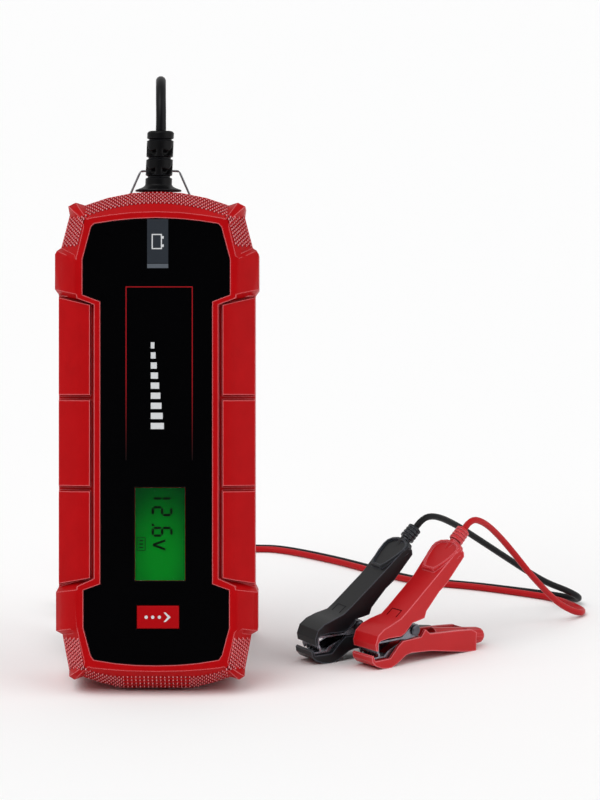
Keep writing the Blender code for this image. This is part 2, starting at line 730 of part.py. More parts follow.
MAINS_FALL = [
    (1.5, 49.0, 250.5),
    (1.4, 51.2, 254.8),
    (1.3, 54.5, 258.4),
    (1.2, 58.5, 261.0),
    (1.1, 63.1, 262.4),
    (0.9, 68.0, 262.6),
    (0.8, 72.7, 261.6),
    (0.6, 77.0, 259.4),
    (0.5, 80.5, 256.1),
    (0.4, 82.7, 252.9),
    (0.3, 87.6, 244.0),
    (0.2, 92.0, 235.6),
    (0.1, 95.3, 226.5),
    (-0.4, 97.9, 213.5),
    (-1.2, 100.4, 196.0),
    (-3.5, 102.2, 175.0),
    (-8.0, 103.0, 150.0),
    (-15.0, 104.0, 125.0),
    (-27.0, 104.4, 85.0),
    (-36.0, 104.0, 52.0),
    (-40.4, 104.2, 36.0),
    (-41.0, 104.0, 26.0),
    (-41.0, 103.6, 22.2),
    (-41.0, 102.4, 18.5),
    (-41.0, 100.5, 15.1),
    (-41.0, 97.9, 12.3),
    (-41.0, 94.8, 10.0),
    (-41.0, 91.2, 8.4),
    (-41.0, 87.4, 7.6),
]
MAINS_TAIL = [
    (31.0, 88.0, 2.4),
    (31.0, 100.0, 2.5),
    (31.0, 112.0, 3.0),
    (31.0, 123.0, 3.6),
    (30.6, 126.9, 4.1),
    (29.5, 130.7, 4.5),
    (27.6, 134.1, 5.0),
    (25.1, 137.1, 5.4),
    (22.1, 139.6, 5.9),
    (18.7, 141.5, 6.3),
    (14.9, 142.6, 6.8),
]
PLUG_NECK = (8.0, 143.0, 7.0)


def on_body(across, depth, up):
    """A point of the housing's frame, in the world's millimetres."""
    return Vector((across, up * sin(LEAN) + depth * cos(LEAN), up * cos(LEAN) - depth * sin(LEAN)))


def mains_lead():
    coil = coil_path(MAINS_COIL_CENTRE, MAINS_COIL_RADIUS, MAINS_TURNS_IN, pi, 1, False,
                     MAINS / 2 + 0.1, MAINS, MAINS + 0.5)
    print("mains coil: least gap to itself %.2f mm" % least_gap(coil, MAINS))
    top = on_body(MAINS_AXIS + RELIEF_LEAN * (RELIEF_TOP - RELIEF_BASE), 0, RELIEF_TOP)
    fall = straight_from(top, on_body(RELIEF_LEAN, 0, 1))[:2]
    fall += MAINS_FALL + straight_from(coil[0], (0, 1, 0))[::-1]
    tube("mains_cord", smooth_route(fall, 2.6 * MAINS), MAINS, "cord_black")
    tube("mains_coil", coil, MAINS, "cord_black", 1)
    tail = straight_from(coil[-1], (0, 1, 0)) + MAINS_TAIL + straight_from(PLUG_NECK, (1, 0, 0))[1::-1]
    tube("mains_tail", smooth_route(tail, 2.6 * MAINS), MAINS, "cord_black")
    lengths = [path_length(fall), path_length(coil), path_length(tail)]
    print("mains lead: %.0f mm" % sum(lengths))


def plug():
    """A flat two-pin plug that lies on its side face, its neck toward +X."""
    neck_x, y, z = PLUG_NECK
    body_x = neck_x - 8.0
    outline = [(body_x, -5.5), (body_x, 5.5), (body_x - 9, 16.8), (body_x - 31, 17.6), (body_x - 34, 16.0),
               (body_x - 34, -16.0), (body_x - 31, -17.6), (body_x - 9, -16.8)]
    bm = bmesh.new()
    rings = []
    for height, share in ((0.1, 0.94), (1.4, 1.0), (12.5, 1.0), (13.8, 0.94)):
        middle = body_x - 17
        rings.append([Vector((middle + (a - middle) * share, y + b * share, height)) for a, b in outline])
    add_loft(bm, rings)
    made = finish(bm, "mains_plug", "black_abs")
    neck = bmesh.new()
    profile = [(3.3, 0.0), (3.6, 1.2), (4.2, 5.0), (4.9, 12.0)]
    add_turned(neck, profile, PLUG_NECK, (-1, 0, 0), 12)
    unite(made, neck, "neck")
    sockets = bmesh.new()
    for side in (-1, 1):
        add_turned(sockets, [(2.3, 0), (2.3, 12)], (body_x - 28, y + side * 9.3, z), (-1, 0, 0), 12)
    carve(made, sockets, "pin_sockets")
    for number, side in enumerate((-1, 1), 1):
        bm = bmesh.new()
        start = (body_x - 28.3, y + side * 9.3, z)
        add_turned(bm, [(2.0, 0), (2.0, 22.6), (1.2, 24.2)], start, (-1, 0, 0), 12)
        finish(bm, f"plug_pin_{number}", "brass")


# Battery leads, in world millimetres: the pair's middle line, then each lead's own way to its clamp

PAIR_ENTRY = [
    (28.2, 64.0, 26.2),
    (32.8, 72.0, 20.0),
    (36.4, 80.0, 11.5),
    (37.3, 92.0, 4.6),
    (37.2, 106.0, 1.9),
    (36.8, 124.0, 1.6),
    (35.6, 146.0, 1.6),
    (33.0, 166.0, 1.6),
    (26.0, 182.5, 1.6),
    (15.0, 193.0, 1.6),
]
PAIR_RUN = [
    (12.0, 262.6, 4.4),
    (26.0, 265.2, 2.6),
    (41.0, 268.0, 1.7),
    (52.0, 266.5, 1.6),
    (65.9, 256.5, 1.6),
    (85.8, 237.0, 1.6),
    (112.4, 206.0, 1.6),
    (126.8, 195.2, 1.6),
    (150.9, 185.0, 1.6),
]
OWN_RUN = {
    "black": [
        (179.2, 171.8, 1.6),
        (190.6, 164.4, 1.6),
        (196.2, 157.8, 2.0),
        (196.4, 151.6, 4.6),
        (190.8, 146.2, 8.8),
        (180.6, 139.4, 14.6),
        (169.8, 130.0, 22.9),
        (149.5, 110.0, 40.4),
        (143.9, 104.1, 45.3),
        (138.5, 97.9, 50.1),
        (133.5, 91.8, 54.2),
        (128.9, 86.0, 57.5),
        (124.9, 81.1, 59.5),
        (121.3, 77.2, 59.8),
    ],
    "red": [
        (178.4, 166.2, 1.6),
        (187.4, 157.0, 1.6),
        (193.8, 146.0, 1.6),
        (197.4, 136.6, 1.6),
        (196.2, 129.4, 2.2),
        (191.2, 124.2, 4.8),
        (183.5, 116.0, 11.5),
        (172.2, 104.0, 25.5),
        (163.8, 98.0, 37.0),
        (160.0, 94.5, 42.3),
        (155.7, 89.6, 48.1),
        (151.3, 84.0, 53.5),
        (147.1, 78.5, 57.5),
        (143.3, 73.9, 59.4),
    ],
}


def clamp_point(colour, along, side, up):
    """A point of a clamp at rest, given from the bend of its lower jaw, in world millimetres."""
    a, b = CLAMP_PIVOTS[colour]
    heading = CLAMP_HEADINGS[colour]
    reach = along - PIVOT_ALONG
    x = a + reach * cos(heading) - side * sin(heading)
    y = b + reach * sin(heading) + side * cos(heading)
    return Vector((x, y, up))


def battery_lead(colour, offset):
    finish_name = f"cord_{colour}"
    coil = coil_path(LEAD_COIL_CENTRE, LEAD_COIL_RADIUS, LEAD_TURNS_IN, -pi / 2, -1, True,
                     LEAD / 2 + 0.1, LEAD, 2 * LEAD_SPACING, offset)
    print("%s coil: least gap to itself %.2f mm" % (colour, least_gap(coil, LEAD)))
    gland = straight_from(on_body(GLAND[0], GLAND_END, GLAND[1]), on_body(0, 1, 0))
    entry = beside(gland + PAIR_ENTRY, offset) + straight_from(coil[0], (1, 0, 0))[::-1]
    tube(f"{colour}_lead_entry", smooth_route(entry, 3 * LEAD), LEAD, finish_name)
    tube(f"{colour}_lead_coil", coil, LEAD, finish_name, 1)
    base, tip = (
        clamp_point(colour, BOOT_BASE[0] + reach * cos(BOOT_SLOPE), 0, BOOT_BASE[1] + reach * sin(BOOT_SLOPE))
        for reach in (0.0, BOOT_LENGTH)
    )
    run = straight_from(coil[-1], (1, 0, 0)) + beside(PAIR_RUN, offset) + OWN_RUN[colour]
    run += straight_from(tip, tip - base)[1::-1]
    tube(f"{colour}_lead_run", smooth_route(run, 3 * LEAD), LEAD, finish_name)
    lengths = [path_length(entry), path_length(coil), path_length(run)]
    print("%s lead: %.0f mm" % (colour, sum(lengths)))


# Clamps. Outlines are (along, up) from the bend of the lower jaw, which rests on the floor. The upper
# grip's also holds the half width at each point, and its side faces bend between the points of each fold.

UPPER_GRIP = [
    (-7.6, 9.3, NOSE_HALF), (-8.1, 12.2, NOSE_HALF), (-6.6, 16.2, NOSE_HALF), (-3.1, 18.7, NOSE_HALF),
    (1.7, 20.3, NOSE_HALF), (7.7, 21.9, GRIP_HALF), (11.3, 24.5, GRIP_HALF), (27.0, 37.05, GRIP_HALF),
    (39.4, 48.7, 8.7), (41.7, 50.9, 6.4), (43.4, 48.0, END_HALF), (43.7, 45.8, 8.9), (34.6, 34.5, 7.53),
    (30.5, 31.1, GRIP_HALF), (22.9, 23.2, GRIP_HALF), (21.7, 20.1, GRIP_HALF), (18.7, 19.5, GRIP_HALF),
    (14.5, 18.9, GRIP_HALF), (10.4, 14.9, GRIP_HALF), (7.8, 13.7, GRIP_HALF), (-0.7, 14.2, NOSE_HALF),
    (-5.0, 13.7, NOSE_HALF), (-6.4, 12.7, NOSE_HALF), (-6.5, 9.1, NOSE_HALF),
]
UPPER_FOLDS = ((4, 20), (5, 19), (7, 13), (8, 10))
UPPER_CHANNEL = [(9.0, 14.0), (12.4, 19.6), (32.6, 35.3), (35.0, 32.5), (22.0, 17.0), (13.0, 15.0)]
LOWER_GRIP = [
    (-9.3, 6.4), (-9.0, 4.2), (-7.0, 2.0), (-3.4, 0.5), (0.0, 0.0), (2.2, 0.0), (5.4, 1.3), (10.8, 4.5),
    (13.9, 5.1), (26.0, 4.1), (34.0, 2.6), (45.0, 0.7), (50.0, 0.0), (53.0, 0.0), (53.2, 8.6), (50.2, 10.3),
    (40.7, 11.2), (33.2, 11.7), (25.2, 12.2), (22.4, 14.6), (19.8, 11.5), (9.0, 11.3), (6.4, 9.4),
    (1.6, 4.4), (-7.4, 4.3), (-8.4, 7.0),
]
LOWER_CHANNEL = [(0.6, 4.2), (3.5, 4.2), (10.5, 7.4), (28.0, 8.2), (50.6, 5.6), (50.6, 20.0), (8.0, 20.0),
                 (0.6, 8.0)]
UPPER_CHEEK = [(-4.6, 12.2), (9.0, 12.2), (10.4, 11.7), (14.0, 11.9), (17.8, 12.5), (19.1, 14.0),
               (19.1, 16.4), (17.8, 17.9), (14.6, 17.9), (13.2, 16.4), (8.5, 13.1), (-4.6, 13.1)]
LOWER_CHEEK = [(-1.0, 4.6), (3.2, 4.6), (10.5, 8.0), (17.6, 12.6), (19.1, 14.0), (19.1, 16.4),
               (17.8, 17.9), (14.6, 17.9), (13.3, 16.4), (8.0, 10.0), (1.5, 7.4), (-1.0, 5.4)]
# The thumb pad, as (along the grip's back line, side), its rings of (height at its lower end, share of
# the outline), how much of the height its upper end loses, and the dish inside its lip
BACK_LINE = ((11.3, 24.5), (41.0, 48.2))
PAD_OUTLINE = [(23.9, -3.9), (23.9, 3.9), (27.4, 6.2), (32.0, 7.9), (36.6, 8.9), (39.4, 8.7), (41.6, 6.6),
               (42.7, 3.0), (42.7, -3.0), (41.6, -6.6), (39.4, -8.7), (36.6, -8.9), (32.0, -7.9), (27.4, -6.2)]
PAD_MIDDLE = 33.5
PAD_RINGS = ((-1.0, 1.0), (1.3, 1.0), (2.0, 0.94))
PAD_FALL = 0.03
DISH_RINGS = ((1.2, 0.84), (3.5, 0.84))


def from_pivot(points):
    return [(along - PIVOT_ALONG, up - PIVOT_UP) for along, up in points]


def add_plate(bm, outline, near, far):
    """A plate of the clamp's side outline, between two places across the clamp."""
    flat = from_pivot(outline)
    add_loft(bm, [[Vector((a, side, b)) for a, b in flat] for side in (near, far)])


def pin_bore(radius):
    bm = bmesh.new()
    add_turned(bm, [(radius, -12), (radius, 12)], (0, 0, 0), (0, 1, 0), 12)
    return bm


def toothed(bottom, top, half_width, teeth, up):
    """A strip whose lower or upper edge is cut into teeth, as (side, up) points."""
    pitch = 2 * half_width / teeth
    tip, root = (top, top - TOOTH_DEPTH) if up else (bottom, bottom + TOOTH_DEPTH)
    edge = []
    for i in range(teeth):
        left = -half_width + i * pitch
        edge += [(left, root), (left + pitch / 2, tip)]
    edge.append((half_width, root))
    base = bottom if up else top
    return edge + [(half_width, base), (-half_width, base)]


def pad_skin(rings_of):
    """The pad's outline at several heights over the grip's back, which fall toward its upper end."""
    (near, low), (far, high) = BACK_LINE
    slope = Vector((far - near, 0, high - low)).normalized()
    normal = Vector((-slope.z, 0, slope.x))
    start = Vector((near - PIVOT_ALONG, 0, low - PIVOT_UP))
    bm = bmesh.new()
    rings = []
    for height, share in rings_of:
        ring = []
        for reach, side in PAD_OUTLINE:
            reach = PAD_MIDDLE + (reach - PAD_MIDDLE) * share
            fall = PAD_FALL * (reach - PAD_OUTLINE[0][0])
            ring.append(start + slope * reach + Vector((0, side * share, 0)) + normal * (height - fall))
        rings.append(ring)
    add_loft(bm, rings)
    return bm


def upper_grip_form():
    """The grip between its two side faces, each bent along the folds."""
    bm = bmesh.new()
    rings = []
    for side in (-1, 1):
        rings.append([Vector((a - PIVOT_ALONG, side * half, b - PIVOT_UP)) for a, b, half in UPPER_GRIP])
    add_loft(bm, rings)
    bm.verts.ensure_lookup_table()
    for one, other in UPPER_FOLDS:
        for first in (0, len(UPPER_GRIP)):
            bmesh.ops.connect_vert_pair(bm, verts=[bm.verts[first + one], bm.verts[first + other]])
            bm.verts.ensure_lookup_table()
    return bm


def boot_line():
    """Where a clamp's cable leaves its upper grip, from the pivot, and the way it points."""
    at = (BOOT_BASE[0] - PIVOT_ALONG, 0, BOOT_BASE[1] - PIVOT_UP)
    return at, (cos(BOOT_SLOPE), 0, sin(BOOT_SLOPE))


def upper_grip(colour, frame):
    grip = finish(upper_grip_form(), f"{colour}_upper_grip", f"cord_{colour}", frame)
    channel = bmesh.new()
    add_plate(channel, UPPER_CHANNEL, -CHANNEL_HALF, CHANNEL_HALF)
    carve(grip, channel, "channel")
    unite(grip, pad_skin(PAD_RINGS), "thumb_pad")
    carve(grip, pad_skin(DISH_RINGS), "thumb_dish")
    neck = bmesh.new()
    add_turned(neck, [(NECK_RADIUS - 0.5, -NECK_LENGTH), (NECK_RADIUS, -GAP)], *boot_line(), 12)
    unite(grip, neck, "cable_neck")


def lower_grip(colour, frame):
    bm = bmesh.new()
    add_plate(bm, LOWER_GRIP, -GRIP_HALF, GRIP_HALF)
    grip = finish(bm, f"{colour}_lower_grip", f"cord_{colour}", frame)
    channel = bmesh.new()
    add_plate(channel, LOWER_CHANNEL, -CHANNEL_HALF, CHANNEL_HALF)
    carve(grip, channel, "channel")
    (start, low), (end, high) = BARREL_AXIS
    radius, way = BARREL_RADIUS, Vector((end - start, 0, high - low))
    profile = [(radius, 0.0), (radius, way.length)]
    for turn in (30, 55, 78):
        profile.append((radius * cos(radians(turn)), way.length + radius * sin(radians(turn))))
    barrel = bmesh.new()
    add_turned(barrel, profile, (start - PIVOT_ALONG, 0, low - PIVOT_UP), way, 14)
    unite(grip, barrel, "closed_barrel")


def jaw(name, cheek, strip, strip_along, web, cheek_side, frame):
    """Two cheeks round the pin, joined by a web and by the toothed strip at the nose."""
    bm = bmesh.new()
    add_plate(bm, cheek, cheek_side, cheek_side + SHEET)
    made = finish(bm, name, "steel", frame)
    bridge = bmesh.new()
    reach = cheek_side + SHEET - WEB_SHORT
    add_plate(bridge, web, -reach, reach)
    second = bmesh.new()
    add_plate(second, cheek, -cheek_side - SHEET, -cheek_side)
    teeth = bmesh.new()
    flat = [(side, up - PIVOT_UP) for side, up in strip]
    near, far = (place - PIVOT_ALONG for place in strip_along)
    add_loft(teeth, [[Vector((along, a, b)) for a, b in flat] for along in (near, far)])
    for shapes, label in ((bridge, "web"), (second, "second_cheek"), (teeth, "teeth")):
        unite(made, shapes, label)
    carve(made, pin_bore(PIN_RADIUS + GAP), "pin_hole")


def jaws(colour, frame):
    web = [(-5.4, 12.2), (9.5, 12.2), (9.5, 13.05), (-5.4, 13.05)]
    jaw(f"{colour}_upper_jaw", UPPER_CHEEK, toothed(6.0, 12.6, 6.5, 5, False), (-6.0, -5.0), web, 5.8, frame)
    web = [(-7.0, 4.65), (3.0, 4.65), (3.0, 5.45), (-7.0, 5.45)]
    jaw(f"{colour}_lower_jaw", LOWER_CHEEK, toothed(5.0, 8.2, 4.9, 4, True), (-3.9, -3.0), web, 4.3, frame)


def pivot_pin(colour, frame):
    bm = bmesh.new()
    profile = [(1.7, -7.9), (2.5, -7.5), (2.5, -6.9), (PIN_RADIUS, -6.9), (PIN_RADIUS, 6.9), (2.5, 6.9),
               (2.5, 7.5), (1.7, 7.9)]
    add_turned(bm, profile, (0, 0, 0), (0, 1, 0), 10)
    finish(bm, f"{colour}_pivot_pin", "steel", frame)


def clamp_spring(colour, frame):
    """A torsion spring round the pin: one leg down into the lower grip, one up into the upper grip."""
    low, high = radians(-105), radians(135) - 2 * pi
    turn = high - low - 2 * pi * 2
    points = [Vector((SPRING_RADIUS * cos(low), 3.0, SPRING_RADIUS * sin(low)))]
    first = points[0] + Vector((-sin(low), 0, cos(low))) * 11.0
    steps = 24
    for i in range(1, steps + 1):
        angle = low + turn * i / steps
        points.append(Vector((SPRING_RADIUS * cos(angle), 3.0 - 6.0 * i / steps, SPRING_RADIUS * sin(angle))))
    last = points[-1] + Vector((sin(high), 0, -cos(high))) * 13.5
    points = [first, *points, last]
    print("%s spring: least gap to itself %.2f mm" % (colour, least_gap(points, SPRING_WIRE)))
    tube(f"{colour}_clamp_spring", points, SPRING_WIRE, "steel", 1, frame)


def cable_boot(colour, frame):
    profile = [(3.4, 0.0), (3.4, 1.4)]
    for start in (1.4, 3.1):
        profile += [(2.8, start + 0.2), (2.8, start + 0.6), (3.4, start + 0.8), (3.3, start + 1.6)]
    profile += [(2.7, 5.0), (2.7, 5.4), (3.2, 5.6), (3.0, 6.4), (2.4, BOOT_LENGTH)]
    bm = bmesh.new()
    add_turned(bm, profile, *boot_line(), 12)
    finish(bm, f"{colour}_cable_boot", f"cord_{colour}", frame)


def clamp(colour):
    a, b = CLAMP_PIVOTS[colour]
    frame = frame_empty(f"{colour}_clamp_pivot", (a, b, PIVOT_UP), (0, 0, CLAMP_HEADINGS[colour]))
    upper_grip(colour, frame)
    lower_grip(colour, frame)
    jaws(colour, frame)
    pivot_pin(colour, frame)
    clamp_spring(colour, frame)
    cable_boot(colour, frame)


def housing():
    body = frame_empty("body_frame", (0, 0, 0), (-LEAN, 0, 0))
    front_shell(body)
    rear_shell(body)
    front_panel(body)
    display_pieces(body)
    button_pieces(body)
    electronics(body)
    screws(body)
    mains_relief(body)
    lead_relief(body)
    bail_wire(body)


def main():
    clear_scene()
    housing()
    mains_lead()
    plug()
    battery_lead("black", LEAD_SPACING / 2)
    battery_lead("red", -LEAD_SPACING / 2)
    clamp("red")
    clamp("black")


main()
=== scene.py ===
"""Looks of a car battery charger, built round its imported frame.

The charger leans back on the sloping rear facet of its bottom end, with its mains lead behind it and
its two battery clamps lying beside it. Every piece here is built in millimetres, most of them in the
housing's own frame of (across, depth, up) or in a clamp's frame of (along, side, up) from its pivot,
and turned to metres in world space when it is published.
"""

from __future__ import annotations

import json
import logging
from collections.abc import Callable, Iterable, Sequence
from dataclasses import dataclass, field
from enum import Enum
from math import atan2, cos, degrees, exp, hypot, pi, radians, sin
from typing import Protocol

import bmesh
import bpy
from mathutils import Matrix, Vector
from mathutils.bvhtree import BVHTree

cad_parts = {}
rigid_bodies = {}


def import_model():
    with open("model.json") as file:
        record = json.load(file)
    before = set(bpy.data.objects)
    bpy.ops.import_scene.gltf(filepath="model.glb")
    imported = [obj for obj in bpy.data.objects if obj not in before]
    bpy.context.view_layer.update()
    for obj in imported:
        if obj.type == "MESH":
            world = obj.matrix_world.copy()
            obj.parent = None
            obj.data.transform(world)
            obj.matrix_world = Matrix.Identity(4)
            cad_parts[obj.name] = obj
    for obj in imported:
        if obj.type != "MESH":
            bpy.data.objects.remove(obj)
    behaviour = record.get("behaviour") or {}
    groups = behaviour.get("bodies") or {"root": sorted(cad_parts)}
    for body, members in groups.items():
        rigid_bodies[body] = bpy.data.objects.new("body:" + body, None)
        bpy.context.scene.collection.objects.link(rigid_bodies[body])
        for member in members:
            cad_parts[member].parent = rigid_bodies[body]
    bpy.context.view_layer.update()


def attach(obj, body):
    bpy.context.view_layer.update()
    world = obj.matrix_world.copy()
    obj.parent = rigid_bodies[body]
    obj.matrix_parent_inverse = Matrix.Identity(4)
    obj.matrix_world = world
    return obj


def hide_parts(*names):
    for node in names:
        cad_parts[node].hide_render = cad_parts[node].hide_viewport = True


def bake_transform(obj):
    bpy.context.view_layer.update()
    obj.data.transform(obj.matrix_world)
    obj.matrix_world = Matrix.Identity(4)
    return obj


log = logging.getLogger("battery_charger")

MM = 0.001
LEAN = radians(11)
# The housing's frame of (across, depth, up) as it leans in the world
HOUSING = Matrix.Rotation(-LEAN, 4, "X")
WORLD = Matrix.Identity(4)

Pair = tuple[float, float]
Triple = tuple[float, float, float]
BMesh = bmesh.types.BMesh
Object = bpy.types.Object
Node = bpy.types.Node
Socket = bpy.types.NodeSocket
Tree = bpy.types.NodeTree


class Body(Enum):
    """The moving bodies that a piece may ride on."""

    ROOT = "root"
    KEY = "mode_button"
    BAIL = "bail"
    RED_UPPER = "red_clamp_upper"
    BLACK_UPPER = "black_clamp_upper"


# Colour and nodes


def linear(colour: str, alpha: float = 1.0) -> tuple[float, float, float, float]:
    """Turns an sRGB hex colour into linear light.

    Args:
        colour: The colour, as in "#C01018".
        alpha: Its opacity.

    Returns:
        The linear red, green, blue and alpha.
    """
    parts = [int(colour[i : i + 2], 16) / 255 for i in (1, 3, 5)]
    red, green, blue = (p / 12.92 if p <= 0.04045 else ((p + 0.055) / 1.055) ** 2.4 for p in parts)
    return red, green, blue, alpha


def add_node(tree: Tree, kind: str, inputs: dict | None = None, **settings: object) -> Node:
    """Adds a node with its settings and links.

    Args:
        tree: The node tree.
        kind: The node's type name in Blender.
        inputs: What each input holds, by name or number: a value, or the output that feeds it.
        settings: The node's own settings.

    Returns:
        The new node.
    """
    node = tree.nodes.new(kind)
    for name, value in settings.items():
        setattr(node, name, value)
    for key, value in (inputs or {}).items():
        if isinstance(value, Socket):
            tree.links.new(value, node.inputs[key])
        else:
            node.inputs[key].default_value = value
    return node


class Finish(Protocol):
    """Anything that can make the material of a surface."""

    name: str

    def build(self, tree: Tree, shader: Node) -> None:
        """Sets the shader and adds the nodes that feed it."""


def material_of(finish: Finish) -> bpy.types.Material:
    """Makes a finish's material, once.

    Args:
        finish: The finish.

    Returns:
        Its material, which every piece with this finish shares.
    """
    known = bpy.data.materials.get(finish.name)
    if known:
        return known
    made = bpy.data.materials.new(finish.name)
    made.use_nodes = True
    finish.build(made.node_tree, made.node_tree.nodes["Principled BSDF"])
    return made


def noise_of(tree: Tree, size: float, detail: float = 2.0, roughness: float = 0.5) -> Socket:
    """Adds a noise on Object coordinates whose features have a real size.

    Args:
        tree: The node tree.
        size: The size of a feature in millimetres.
        detail: The noise's detail.
        roughness: The noise's roughness.

    Returns:
        The output that holds the noise, from 0 to 1.
    """
    place = add_node(tree, "ShaderNodeTexCoord").outputs["Object"]
    inputs = {"Vector": place, "Scale": 1 / (size * MM), "Detail": detail, "Roughness": roughness}
    return add_node(tree, "ShaderNodeTexNoise", inputs).outputs["Fac"]


@dataclass(frozen=True)
class Skin:
    """A surface whose colour, gloss and relief each follow a noise of a real size."""

    name: str
    colour: str
    deep: str

    def lay(
        self,
        tree: Tree,
        shader: Node,
        cloud: Socket,
        grain: Socket,
        gloss: Pair,
        relief: Socket | None = None,
        height: float = 0.0,
        strength: float = 1.0,
    ) -> Socket:
        """Feeds the shader's colour, roughness and normal.

        Args:
            tree: The node tree.
            shader: The shader.
            cloud: What mixes the deep colour and the colour.
            grain: What spreads the roughness.
            gloss: The roughness where the grain is 0, and where it is 1.
            relief: What raises the surface, if anything does.
            height: How far it raises it, in millimetres.
            strength: How much of that shows.

        Returns:
            The mixed colour.
        """
        inputs = {"Factor": cloud, "A": linear(self.deep), "B": linear(self.colour)}
        mixed = add_node(tree, "ShaderNodeMix", inputs, data_type="RGBA").outputs["Result"]
        tree.links.new(mixed, shader.inputs["Base Color"])
        rough = add_node(tree, "ShaderNodeMapRange", {"Value": grain, "To Min": gloss[0], "To Max": gloss[1]})
        tree.links.new(rough.outputs["Result"], shader.inputs["Roughness"])
        if relief:
            inputs = {"Height": relief, "Strength": strength, "Distance": height * MM}
            bump = add_node(tree, "ShaderNodeBump", inputs)
            tree.links.new(bump.outputs["Normal"], shader.inputs["Normal"])
        return mixed


@dataclass(frozen=True)
class MouldedPlastic(Skin):
    """Injection-moulded plastic, coloured through.

    The eye gets a fine eroded grain in the gloss, a faint mottling, and an edge colour laid on its rounded
    edges, a painted highlight where it is paler than the colour and a painted shade where it is darker.
    """

    # The colour painted on the rounded edges: a painted highlight where it is paler than the colour, a
    # painted shade where it is darker
    painted_edge: str
    roughness: float = 0.42
    grain: float = 0.55
    grain_height: float = 0.02
    mottle: float = 9.0
    shine: float = 0.12
    painted_edge_radius: float = 0.45
    # How far the normal has turned, as a cosine, where the painted edge colour starts and where it is full
    edge_turn: Pair = (0.985, 0.88)
    most_painted_edge: float = 0.8

    def build(self, tree: Tree, shader: Node) -> None:
        """Mottles the colour, paints the edge colour on its edges as painted light, and roughens and grains
        the surface.
        """
        grain = noise_of(tree, self.grain, 3.0, 0.6)
        gloss = (self.roughness - 0.07, self.roughness + 0.07)
        mottled = self.lay(tree, shader, noise_of(tree, self.mottle), grain, gloss, grain, self.grain_height)
        # Painted light on the edges: the edge colour rises where the rounded edge turns the normal
        flat = add_node(tree, "ShaderNodeNewGeometry").outputs["Normal"]
        eased = add_node(tree, "ShaderNodeBevel", {"Radius": self.painted_edge_radius * MM}, samples=6).outputs["Normal"]
        inputs = {0: flat, 1: eased}
        turn = add_node(tree, "ShaderNodeVectorMath", inputs, operation="DOT_PRODUCT").outputs["Value"]
        start, full = self.edge_turn
        inputs = {"Value": turn, "From Min": start, "From Max": full, "To Max": self.most_painted_edge}
        painted_edge_share = add_node(tree, "ShaderNodeMapRange", inputs).outputs["Result"]
        inputs = {"Factor": painted_edge_share, "A": mottled, "B": linear(self.painted_edge)}
        painted_edge = add_node(tree, "ShaderNodeMix", inputs, data_type="RGBA")
        shader.inputs["Specular IOR Level"].default_value = self.shine
        tree.links.new(painted_edge.outputs["Result"], shader.inputs["Base Color"])


@dataclass(frozen=True)
class PlatedSteel(Skin):
    """Sheet, wire or turned metal with a thin plating.

    The eye gets a bright metal whose gloss wanders a little, with dull handling marks.
    """

    roughness: float = 0.28
    spot: float = 2.5
    scratch: float = 0.35
    scratch_height: float = 0.004

    def build(self, tree: Tree, shader: Node) -> None:
        """Clouds the metal's colour and gloss."""
        cloud = noise_of(tree, self.spot, 4.0, 0.6)
        gloss = (self.roughness + 0.12, self.roughness - 0.08)
        self.lay(tree, shader, cloud, cloud, gloss, noise_of(tree, self.scratch), self.scratch_height)
        shader.inputs["Metallic"].default_value = 1.0


@dataclass(frozen=True)
class OverlayFilm(Skin):
    """Polished black film over the face.

    The eye gets a near-black, almost mirror-flat sheet with the faintest cloud in its gloss.
    """

    roughness: float = 0.16
    speck: float = 0.8
    cloud: float = 25.0

    def build(self, tree: Tree, shader: Node) -> None:
        """Keeps the colour near black and lets the gloss wander."""
        gloss = (self.roughness - 0.03, self.roughness + 0.04)
        self.lay(tree, shader, noise_of(tree, self.speck), noise_of(tree, self.cloud), gloss)
        shader.inputs["Specular IOR Level"].default_value = 0.12


@dataclass(frozen=True)
class CordJacket(Skin):
    """Extruded soft vinyl over the cores.

    The eye gets a satin skin with a slow ripple where the cores press through.
    """

    roughness: float = 0.38
    grain: float = 0.5
    ripple: float = 3.0
    ripple_height: float = 0.08

    def build(self, tree: Tree, shader: Node) -> None:
        """Ripples the skin and varies its gloss."""
        fine = noise_of(tree, self.grain)
        slow = noise_of(tree, self.ripple, 1.0)
        gloss = (self.roughness - 0.06, self.roughness + 0.08)
        self.lay(tree, shader, fine, fine, gloss, slow, self.ripple_height, 0.6)
        shader.inputs["Specular IOR Level"].default_value = 0.16


@dataclass(frozen=True)
class PrintedInk:
    """Screen-printed ink on the film, which may fade out down the face.

    The eye gets a flat satin colour with the slight grain of a mesh screen.
    """

    name: str
    colour: str
    ground: str = "#040405"
    fade: Pair | None = None
    roughness: float = 0.38

    def build(self, tree: Tree, shader: Node) -> None:
        """Prints the colour, and fades it to the ground between two heights of the world."""
        screen = noise_of(tree, 0.45)
        inputs = {"Value": screen, "To Min": 0.0, "To Max": 0.12}
        grain = add_node(tree, "ShaderNodeMapRange", inputs).outputs["Result"]
        inputs = {"Factor": grain, "A": linear(self.colour), "B": linear(self.ground)}
        ink = add_node(tree, "ShaderNodeMix", inputs, data_type="RGBA").outputs["Result"]
        if self.fade:
            place = add_node(tree, "ShaderNodeTexCoord").outputs["Object"]
            height = add_node(tree, "ShaderNodeSeparateXYZ", {"Vector": place}).outputs["Z"]
            low, high = (level * MM for level in self.fade)
            inputs = {"Value": height, "From Min": low, "From Max": high}
            share = add_node(tree, "ShaderNodeMapRange", inputs, interpolation_type="SMOOTHSTEP")
            inputs = {"Factor": share.outputs["Result"], "A": linear(self.ground), "B": ink}
            ink = add_node(tree, "ShaderNodeMix", inputs, data_type="RGBA").outputs["Result"]
        shader.inputs["Roughness"].default_value = self.roughness
        shader.inputs["Specular IOR Level"].default_value = 0.2
        tree.links.new(ink, shader.inputs["Base Color"])


